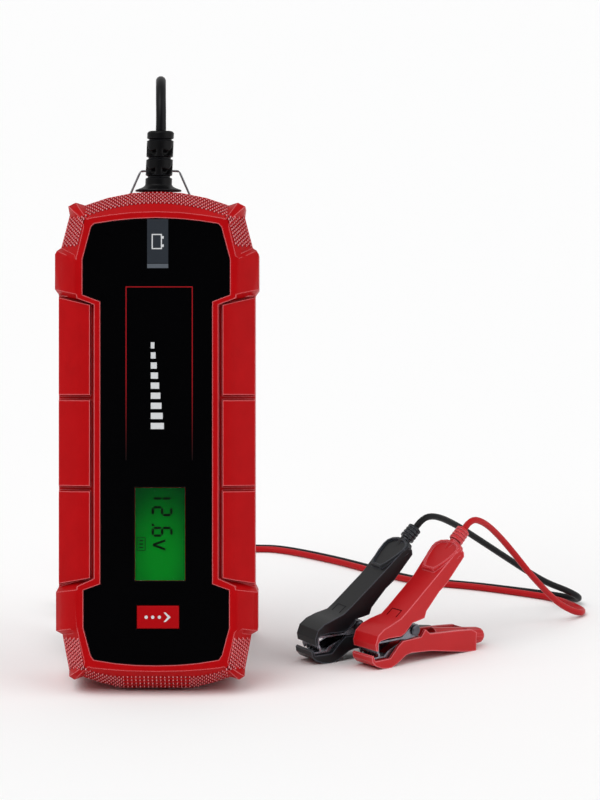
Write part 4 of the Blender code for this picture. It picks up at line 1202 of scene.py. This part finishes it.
@dataclass
class ModeKey:
    """The key in the face, with a plain sign for stepping through."""

    centre: Pair = (0.8, 31.8)
    front: float = -21.8
    ink: float = 0.03
    dots: int = 3
    dot_first: float = -5.2
    dot_pitch: float = 2.9
    dot_radius: float = 0.75
    arrow_tip: float = 5.6
    arrow_back: float = 3.4
    arrow_half: float = 2.1
    arrow_thick: float = 0.95

    def build(self) -> None:
        """Builds the key with its rounded rim, and prints the sign."""
        bm = copy_of("mode_button")
        ease_edges(bm, 0.3, 30.0)
        publish(bm, "mode_key", KEY_RED, Body.KEY, ("mode_button",))
        a, b = self.centre
        near = self.front - self.ink
        signs = [plate(outline, near, self.front - 0.005) for outline in self.sign(a, b)]
        publish(merged(signs), "mode_key_sign", INK_PALE, Body.KEY, frame=HOUSING)

    def sign(self, a: float, b: float) -> list[list[Pair]]:
        """Draws three dots and an arrow head."""
        out = []
        for i in range(self.dots):
            middle = a + self.dot_first + self.dot_pitch * i
            turns = [pi * k / 6 for k in range(12)]
            out.append([(middle + self.dot_radius * cos(t), b + self.dot_radius * sin(t)) for t in turns])
        tip, back, thick = a + self.arrow_tip, a + self.arrow_back, self.arrow_thick
        for end in (b + self.arrow_half, b - self.arrow_half):
            out.append([(tip, b), (back, end), (back - thick, end), (tip - thick * 1.4, b)])
        return out


@dataclass
class MainsRelief:
    """The bend relief on the mains lead: three beads and a collar, notched so that they bend."""

    axis: float = 0.3
    base: float = 221.0
    lean: float = 0.04
    radius: float = 5.95
    notch: float = 5.0
    beads: tuple[Pair, ...] = ((227.5, 234.6), (235.8, 243.0))
    window_depth: float = 2.0
    window_start: float = 14.0
    window_span: float = 50.0

    def build(self) -> None:
        """Turns the relief and sinks a crescent on each side of its webs."""
        full, notch = self.radius, self.notch
        profile = [(7.2, 213.4), (7.2, 216.6), (5.2, 216.6), (5.2, 220.4), (10.2, 220.4), (10.35, 220.7)]
        profile += [(10.2, 221.1), (9.0, 221.5), (7.4, 222.1), (6.4, 222.7), (full, 223.4)]
        for low, high in ((223.4, 226.3), *self.beads, (243.9, 246.6)):
            steps = max(3, round((high - low) / 0.3))
            profile += [(notch, low - 0.35), (full - 0.15, low + 0.05)] if low > 224 else []
            profile += [(full, low + 0.2 + i * (high - low - 0.4) / steps) for i in range(steps + 1)]
            profile += [(full - 0.15, high - 0.05), (notch, high + 0.3)] if high < 246 else []
        profile += [(full - 0.5, 247.0), (full - 1.1, 247.3), (2.4, 247.3)]
        bm = turned(profile, 72)
        for vert in bm.verts:
            self.sink(vert)
            vert.co.x += self.lean * max(0.0, vert.co.z - self.base)
        frame = HOUSING @ Matrix.Translation((self.axis, 0, 0))
        node = ("mains_relief",)
        publish(bm, "mains_bend_relief", RELIEF_BLACK, Body.ROOT, node, frame, 42)

    def sink(self, vert: bmesh.types.BMVert) -> None:
        """Moves a point of a bead inward where a crescent window is."""
        reach = hypot(vert.co.x, vert.co.y)
        for low, high in self.beads:
            share = (vert.co.z - low) / (high - low)
            if not 0.03 < share < 0.7 or reach < self.notch + 0.3:
                continue
            turn = degrees(atan2(vert.co.x, -vert.co.y))
            turn = abs((turn + 90) % 180 - 90)
            span = (turn - self.window_start) / self.window_span
            if not 0 < span < 1.3:
                continue
            bow = 0.34 - 0.16 * (1 - (2 * span - 1) ** 2)
            ends = min(1.0, span / 0.15) * min(1.0, (1.3 - span) / 0.2)
            hollow = exp(-(((share - bow) / 0.15) ** 4)) * ends
            scale = 1 - self.window_depth * hollow / reach
            vert.co.x *= scale
            vert.co.y *= scale


@dataclass
class LeadRelief:
    """The short gland where the two battery leads leave the rear."""

    at: Pair = (26.0, 40.0)

    def build(self) -> None:
        """Turns the gland with its grooves."""
        profile = [(5.6, 24.6), (5.6, 27.0), (4.0, 27.0), (4.0, 30.4), (6.0, 30.4), (6.2, 30.7), (6.2, 31.4)]
        profile += [(5.6, 32.0), (5.3, 32.6), (5.05, 35.8), (4.9, 36.05), (4.4, 36.2), (4.4, 36.9)]
        profile += [(4.8, 37.05), (4.9, 37.3), (4.62, 40.8), (4.4, 41.1), (4.0, 41.3), (4.0, 41.9)]
        profile += [(4.35, 42.1), (4.3, 43.6), (3.9, 44.0), (1.6, 44.0)]
        frame = HOUSING @ axis_at((self.at[0], 0, self.at[1]), (0, 1, 0))
        bm = turned(profile, 40)
        publish(bm, "lead_gland", RELIEF_BLACK, Body.ROOT, ("lead_relief",), frame, 42)


@dataclass
class Bail:
    """The bent wire for hanging the charger up, which turns in two lugs at the rear."""

    depth: float = 31.6
    low: float = 209.0
    arm: float = 22.1
    top_half: float = 8.8
    foot_half: float = 18.3
    tip_half: float = 23.0
    wire: float = 1.0

    def build(self) -> None:
        """Bends the wire with rounded corners."""
        top = self.low + self.arm
        right = [(self.tip_half, self.low), (self.tip_half - 0.8, self.low), (self.foot_half + 1.6, self.low)]
        right += [(self.foot_half + 0.2, self.low + 0.3), (self.foot_half - 0.45, self.low + 1.5)]
        right += [(self.top_half + 0.6, top - 1.6), (self.top_half, top - 0.4), (self.top_half - 1.2, top)]
        left = [(-a, b) for a, b in reversed(right)]
        middle = [(self.top_half * 0.4, top), (-self.top_half * 0.4, top)]
        route = [on_body(a, self.depth, b) for a, b in [*right, *middle, *left]]
        made = tube("bail_bent_wire", smooth_route(route, 0.8), self.wire, BAIL_STEEL)
        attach(made, Body.BAIL.value)
        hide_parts("bail_wire")


@dataclass
class MainsLead:
    """The mains lead: over the top, down the rear, into a neat coil and out to its plug."""

    diameter: float = 4.6
    exit: Triple = (1.352, 0.0, 247.3)
    lean: float = 0.04
    coil: Coil = Coil((-5.0, 74.0), 36.0, 3, pi, 1, False, 4.6 / 2 + 0.1, 4.6, 5.1)
    neck: Triple = (8.0, 143.0, 7.0)
    fall: tuple[Triple, ...] = (
        (1.5, 49.0, 250.5), (1.4, 51.2, 254.8), (1.3, 54.5, 258.4), (1.2, 58.5, 261.0), (1.1, 63.1, 262.4),
        (0.9, 68.0, 262.6), (0.8, 72.7, 261.6), (0.6, 77.0, 259.4), (0.5, 80.5, 256.1), (0.4, 82.7, 252.9),
        (0.3, 87.6, 244.0), (0.2, 92.0, 235.6), (0.1, 95.3, 226.5), (-0.4, 97.9, 213.5),
        (-1.2, 100.4, 196.0), (-3.5, 102.2, 175.0), (-8.0, 103.0, 150.0), (-15.0, 104.0, 125.0),
        (-27.0, 104.4, 85.0), (-36.0, 104.0, 52.0), (-40.4, 104.2, 36.0), (-41.0, 104.0, 26.0),
        (-41.0, 103.6, 22.2), (-41.0, 102.4, 18.5), (-41.0, 100.5, 15.1), (-41.0, 97.9, 12.3),
        (-41.0, 94.8, 10.0), (-41.0, 91.2, 8.4), (-41.0, 87.4, 7.6),
    )
    tail: tuple[Triple, ...] = (
        (31.0, 88.0, 2.4), (31.0, 100.0, 2.5), (31.0, 112.0, 3.0), (31.0, 123.0, 3.6), (30.6, 126.9, 4.1),
        (29.5, 130.7, 4.5), (27.6, 134.1, 5.0), (25.1, 137.1, 5.4), (22.1, 139.6, 5.9), (18.7, 141.5, 6.3),
        (14.9, 142.6, 6.8),
    )

    def build(self, ends: Sequence[Object]) -> None:
        """Runs the lead from the relief to the plug.

        Args:
            ends: The plug's pieces; not used.
        """
        wound = self.coil.path()
        start = straight_from(on_body(*self.exit), on_body(self.lean, 0, 1))[:2]
        down = smooth_route([*start, *self.fall, *straight_from(wound[0], (0, 1, 0))[::-1]], 2.5)
        out = [*straight_from(wound[-1], (0, 1, 0)), *self.tail, *straight_from(self.neck, (1, 0, 0))[1::-1]]
        path = [*down, *wound, *smooth_route(out, 2.5)]
        made = tube("mains_lead", path, self.diameter, CORD_BLACK)
        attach(made, Body.ROOT.value)
        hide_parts("mains_cord", "mains_coil", "mains_tail")
        log.info("mains lead: %.0f mm", length_of(path))


@dataclass
class Plug:
    """The flat two-pin plug on the mains lead, with half-sleeved pins."""

    neck: Triple = (8.0, 143.0, 7.0)
    pin_offset: float = 9.3
    reach: float = 36.3
    sleeve: float = 10.0
    pin_tip: tuple[Pair, ...] = ((1.92, 22.4), (1.75, 23.1), (1.3, 23.8), (0.7, 24.1))

    def build(self) -> list[Object]:
        """Builds the moulded body and its pins.

        Returns:
            The plug's pieces.
        """
        bm = copy_of("mains_plug")
        ease_edges(bm, 0.7, 24.0, 3)
        pieces = [publish(bm, "plug_body", PLUG_BLACK, Body.ROOT, ("mains_plug",), sharp=45.0)]
        x, y, z = self.neck
        for number, side in enumerate((-1, 1), 1):
            frame = axis_at((x - self.reach, y + side * self.pin_offset, z), (-1, 0, 0))
            sleeve = turned([(2.0, 0.0), (2.0, self.sleeve + 4.8), (1.9, self.sleeve + 5.0)], 32)
            name = f"plug_sleeve_{number}"
            pieces.append(publish(sleeve, name, PLUG_BLACK, Body.ROOT, frame=frame))
            start = self.sleeve + 5.05
            profile = [(1.86, start), (1.92, start + 0.1), *self.pin_tip]
            name, node = f"plug_contact_{number}", f"plug_pin_{number}"
            metal = turned(profile, 32)
            pieces.append(publish(metal, name, PIN_BRASS, Body.ROOT, (node,), frame))
        return pieces


@dataclass(frozen=True)
class BootPlace:
    """Where a clamp's cable leaves its upper grip: a frame whose third axis is the boot's."""

    pivot: Pair
    heading: float = radians(39)
    slope: float = radians(43)
    along: float = 46.0
    up: float = 51.3
    pivot_along: float = 16.2
    length: float = 6.8

    def back(self, near: Pair = (7.7, 21.9), far: Pair = (11.3, 24.5)) -> Matrix:
        """Gives the matrix from the upper grip's back to world millimetres: along it, across it, out of it.

        Args:
            near: Where the back's straight part starts, as (along, up).
            far: Where it ends.
        """
        reach = near[0] - self.pivot_along
        flat = Vector((cos(self.heading), sin(self.heading), 0))
        start = Vector((*self.pivot, near[1])) + flat * reach
        along = (flat * (far[0] - near[0]) + Vector((0, 0, far[1] - near[1]))).normalized()
        across = Vector((-flat.y, flat.x, 0))
        turn = Matrix((along, across, along.cross(across))).transposed().to_4x4()
        return Matrix.Translation(start) @ turn

    def frame(self) -> Matrix:
        """Gives the matrix from the boot's frame to world millimetres."""
        reach = self.along - self.pivot_along
        at = (self.pivot[0] + reach * cos(self.heading), self.pivot[1] + reach * sin(self.heading), self.up)
        flat = cos(self.slope)
        return axis_at(at, (flat * cos(self.heading), flat * sin(self.heading), sin(self.slope)))


@dataclass
class BatteryLead:
    """One of the two battery leads, which run side by side from the gland and part near the clamps."""

    colour: str
    offset: float
    finish: Finish
    slot: str
    upper: Body
    boot: BootPlace
    own: tuple[Triple, ...]
    diameter: float = 3.0
    gland: Triple = (26.0, 44.0, 40.0)
    entry: tuple[Triple, ...] = (
        (28.2, 64.0, 26.2), (32.8, 72.0, 20.0), (36.4, 80.0, 11.5), (37.3, 92.0, 4.6), (37.2, 106.0, 1.9),
        (36.8, 124.0, 1.6), (35.6, 146.0, 1.6), (33.0, 166.0, 1.6), (26.0, 182.5, 1.6), (15.0, 193.0, 1.6),
    )
    run: tuple[Triple, ...] = (
        (12.0, 262.6, 4.4), (26.0, 265.2, 2.6), (41.0, 268.0, 1.7), (52.0, 266.5, 1.6), (65.9, 256.5, 1.6),
        (85.8, 237.0, 1.6), (112.4, 206.0, 1.6), (126.8, 195.2, 1.6), (150.9, 185.0, 1.6),
    )

    def build(self) -> None:
        """Runs the lead from the gland through its coil to the clamp's boot."""
        base = self.diameter / 2 + 0.1
        coil = Coil((-4.0, 229.0), 33.0, 2, -pi / 2, -1, True, base, self.diameter, 7.0, self.offset)
        wound = coil.path()
        across, depth, up = self.gland
        start = straight_from(on_body(across, depth, up), on_body(0, 1, 0))
        entry = [*beside([*start, *self.entry], self.offset), *straight_from(wound[0], (1, 0, 0))[::-1]]
        frame = self.boot.frame()
        tip, root = frame @ Vector((0, 0, self.boot.length)), frame @ Vector((0, 0, 0))
        run = [*straight_from(wound[-1], (1, 0, 0)), *beside(self.run, self.offset)]
        run += [*(Vector(point) for point in self.own), *straight_from(tip, tip - root)[1::-1]]
        path = [*smooth_route(entry, 2.5), *wound, *smooth_route(run, 2.0)]
        made = tube(f"{self.colour}_battery_lead", path, self.diameter, self.finish)
        names = [f"{self.colour}_lead_{part}" for part in ("entry", "coil", "run")]
        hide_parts(*names)
        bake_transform(made)
        log.info("%s lead: %.0f mm", self.colour, length_of(path))


@dataclass
class Clamp:
    """A battery clamp: two moulded grips, two toothed jaws, a spring round a pin and a cable boot."""

    colour: str
    finish: Finish
    slot: str
    upper: Body
    boot: BootPlace

    def build(self) -> None:
        """Builds the clamp's pieces from their CAD forms."""
        name = self.colour
        for part, body in (("upper", self.upper), ("lower", Body.ROOT)):
            node = f"{name}_{part}_grip"
            bm = copy_of(node)
            ease_edges(bm, 0.5, 30.0, 3)
            publish(bm, node + "_moulded", self.finish, body, (node,), sharp=22.0)
        for part, body in (("upper", self.upper), ("lower", Body.ROOT)):
            node = f"{name}_{part}_jaw"
            bm = copy_of(node)
            ease_edges(bm, 0.12, 40.0, 1)
            publish(bm, node + "_stamped", JAW_STEEL, body, (node,))
        self.build_boot()
        self.build_mark()
        dress(f"{name}_pivot_pin", PIN_STEEL)
        dress(f"{name}_clamp_spring", SPRING_STEEL)

    def build_mark(self) -> None:
        """Lays three dark strokes on the upper grip's back, near its bend, where the mould engraved a mark;
        their dark colour is painted shade in the engraving.
        """
        # The strokes' dark colour stands for the shade in the engraved grooves: painted shade
        finish = RED_PAINTED_SHADE if self.finish is CLAMP_RED else RELIEF_BLACK
        bm = bmesh.new()
        strokes = ((2.2, -3.2, 4.2, 0.45), (2.2, 3.2, 4.2, 0.45), (4.3, 0.0, 0.45, 6.85))
        for reach, side, length, width in strokes:
            size = Matrix.Diagonal((length, width, 0.16, 1.0))
            bmesh.ops.create_cube(bm, size=1.0, matrix=Matrix.Translation((reach, side, 0.0)) @ size)
        publish(bm, f"{self.colour}_grip_mark_painted_shade", finish, self.upper, frame=self.boot.back())

    def build_boot(self) -> None:
        """Turns the boot: a collar, then rings parted by narrow grooves."""
        profile = [(2.4, 0.0), (3.2, 0.0), (3.4, 0.2), (3.4, 1.3), (3.25, 1.5)]
        for low in (1.55, 3.2, 4.85):
            wide = 3.42 - 0.03 * low
            profile += [(2.7, low), (2.7, low + 0.4), (wide - 0.15, low + 0.45), (wide, low + 0.6)]
            profile += [(wide - 0.03, low + 1.45), (wide - 0.15, low + 1.6)]
        profile += [(2.9, 6.55), (2.5, 6.8), (1.6, 6.8)]
        name = f"{self.colour}_cable_boot"
        bm, frame = turned(profile, 56), self.boot.frame()
        publish(bm, name + "_ringed", self.finish, self.upper, (name,), frame, 40)


@dataclass
class Electronics:
    """What the housing holds: two boards and the parts on them, and the housing's screws."""

    finishes: dict[str, Finish] = field(
        default_factory=lambda: {
            "control_board": BOARD,
            "power_board": BOARD,
            "transformer_core": FERRITE,
            "transformer_winding": COPPER,
            "heat_sink": ALUMINIUM,
            "bulk_capacitor": CAPACITOR_BLACK,
            "output_capacitor": CAPACITOR_BLACK,
            "mains_fuse": FUSE_CAPS,
            "output_relay": RELAY_BLUE,
            "power_transistor": EPOXY_BLACK,
            "rectifier_bridge": EPOXY_BLACK,
            "output_choke": COPPER,
            "tact_switch": SCREW_STEEL,
            **{f"housing_screw_{number}": SCREW_STEEL for number in range(1, 7)},
        }
    )

    def build(self) -> None:
        """Dresses the parts that stay as they are."""
        for node, finish in self.finishes.items():
            dress(node, finish)


@dataclass
class Studio:
    """A pale floor under soft light, and the camera."""

    camera_at: Triple = (63.4, -1938.9, 506.8)
    tilt: float = radians(79)
    focal: float = 202.0
    sensor: float = 36.0
    surround: float = 0.62
    behind: float = 0.02
    # Where the dark lies, and the cosines at which it starts and is full
    dark_way: Triple = (0.0, -0.98, 0.19)
    dark_edge: Pair = (0.62, 0.95)
    floor_half: float = 12.0

    def build(self) -> None:
        """Builds the floor, the world, the lamps and the camera."""
        self.floor()
        self.world()
        self.sun("key_light", (-0.45, -0.5, 0.85), 0.46, 50.0)
        self.sun("side_light", (0.9, -0.35, 0.45), 0.25, 60.0)
        data = bpy.data.cameras.new("camera")
        data.lens = self.focal
        data.sensor_width = self.sensor
        data.clip_start, data.clip_end = 0.05, 30.0
        camera = bpy.data.objects.new("camera", data)
        camera.location = Vector(self.camera_at) * MM
        camera.rotation_euler = (self.tilt, 0, 0)
        bpy.context.scene.collection.objects.link(camera)
        bpy.context.scene.camera = camera
        bpy.context.scene.view_settings.view_transform = "Standard"

    def floor(self) -> None:
        """Lays a wide pale floor that looks white and keeps the shadow."""
        bm = bmesh.new()
        bmesh.ops.create_grid(bm, x_segments=1, y_segments=1, size=self.floor_half)
        mesh = bpy.data.meshes.new("floor")
        bm.to_mesh(mesh)
        bm.free()
        made = bpy.data.materials.new("floor_paper")
        made.use_nodes = True
        shader = made.node_tree.nodes["Principled BSDF"]
        shader.inputs["Base Color"].default_value = linear("#FAFAFA")
        shader.inputs["Roughness"].default_value = 0.9
        shader.inputs["Specular IOR Level"].default_value = 0.0
        mesh.materials.append(made)
        piece = bpy.data.objects.new("floor", mesh)
        bpy.context.scene.collection.objects.link(piece)

    def world(self) -> None:
        """Makes the surroundings white to the eye, and a soft light that is dark behind the camera."""
        world = bpy.data.worlds.new("studio_world")
        bpy.context.scene.world = world
        world.use_nodes = True
        tree = world.node_tree
        tree.nodes.clear()
        way = add_node(tree, "ShaderNodeTexCoord").outputs["Generated"]
        inputs = {0: way, 1: self.dark_way}
        behind = add_node(tree, "ShaderNodeVectorMath", inputs, operation="DOT_PRODUCT")
        inputs = {
            "Value": behind.outputs["Value"],
            "From Min": self.dark_edge[0],
            "From Max": self.dark_edge[1],
            "To Min": self.surround,
            "To Max": self.behind,
        }
        strength = add_node(tree, "ShaderNodeMapRange", inputs, interpolation_type="SMOOTHSTEP")
        soft = add_node(
            tree, "ShaderNodeBackground", {"Color": linear("#FFFFFF"), "Strength": strength.outputs["Result"]}
        )
        white = add_node(tree, "ShaderNodeBackground", {"Color": linear("#FFFFFF"), "Strength": 1.0})
        seen = add_node(tree, "ShaderNodeLightPath").outputs["Is Camera Ray"]
        inputs = {0: seen, 1: soft.outputs["Background"], 2: white.outputs["Background"]}
        mixed = add_node(tree, "ShaderNodeMixShader", inputs)
        add_node(tree, "ShaderNodeOutputWorld", {"Surface": mixed.outputs["Shader"]})

    def sun(self, name: str, toward: Triple, share: float, spread: float) -> None:
        """Adds a soft light from far away.

        Args:
            name: The light's name.
            toward: The way from the charger to the light.
            share: How brightly it lights a white surface that faces it, where 1 is white.
            spread: The angle in degrees that it fills.
        """
        data = bpy.data.lights.new(name, "SUN")
        data.energy = share * pi
        data.angle = radians(spread)
        light = bpy.data.objects.new(name, data)
        light.rotation_euler = Vector(toward).to_track_quat("Z", "Y").to_euler()
        bpy.context.scene.collection.objects.link(light)


def clear_start() -> None:
    """Empties the startup scene."""
    for thing in list(bpy.data.objects):
        bpy.data.objects.remove(thing, do_unlink=True)


BLACK_BOOT = BootPlace((86.8, 55.4), radians(31.5))
RED_BOOT = BootPlace((111.4, 47.4))
BLACK_OWN = (
    (179.2, 171.8, 1.6), (190.6, 164.4, 1.6), (196.2, 157.8, 2.0), (196.4, 151.6, 4.6),
    (190.8, 146.2, 8.8), (180.6, 139.4, 14.6), (169.8, 130.0, 22.9), (149.5, 110.0, 40.4),
    (143.9, 104.1, 45.3), (138.5, 97.9, 50.1), (133.5, 91.8, 54.2), (128.9, 86.0, 57.5),
    (124.9, 81.1, 59.5), (121.3, 77.2, 59.8),
)
RED_OWN = (
    (178.4, 166.2, 1.6), (187.4, 157.0, 1.6), (193.8, 146.0, 1.6), (197.4, 136.6, 1.6),
    (196.2, 129.4, 2.2), (191.2, 124.2, 4.8), (183.5, 116.0, 11.5), (172.2, 104.0, 25.5),
    (163.8, 98.0, 37.0), (160.0, 94.5, 42.3), (155.7, 89.6, 48.1), (151.3, 84.0, 53.5),
    (147.1, 78.5, 57.5), (143.3, 73.9, 59.4),
)


def main() -> None:
    """Builds the charger's looks on its frame."""
    logging.basicConfig(level=logging.INFO, format="%(name)s: %(message)s")
    clear_start()
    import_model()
    Studio().build()
    MainsLead().build(Plug().build())
    BatteryLead("black", 1.75, CORD_BLACK, "pvc_black", Body.BLACK_UPPER, BLACK_BOOT, BLACK_OWN).build()
    BatteryLead("red", -1.75, CORD_RED, "pvc_red", Body.RED_UPPER, RED_BOOT, RED_OWN).build()
    steps: list[Callable[[], None]] = [
        Shells().build,
        Knurl().build,
        Face().build,
        Display().build,
        ModeKey().build,
        MainsRelief().build,
        LeadRelief().build,
        Bail().build,
        Clamp("red", CLAMP_RED, "clamp_red", Body.RED_UPPER, RED_BOOT).build,
        Clamp("black", CLAMP_BLACK, "clamp_black", Body.BLACK_UPPER, BLACK_BOOT).build,
        Electronics().build,
    ]
    for step in steps:
        step()


if __name__ == "__main__":
    main()
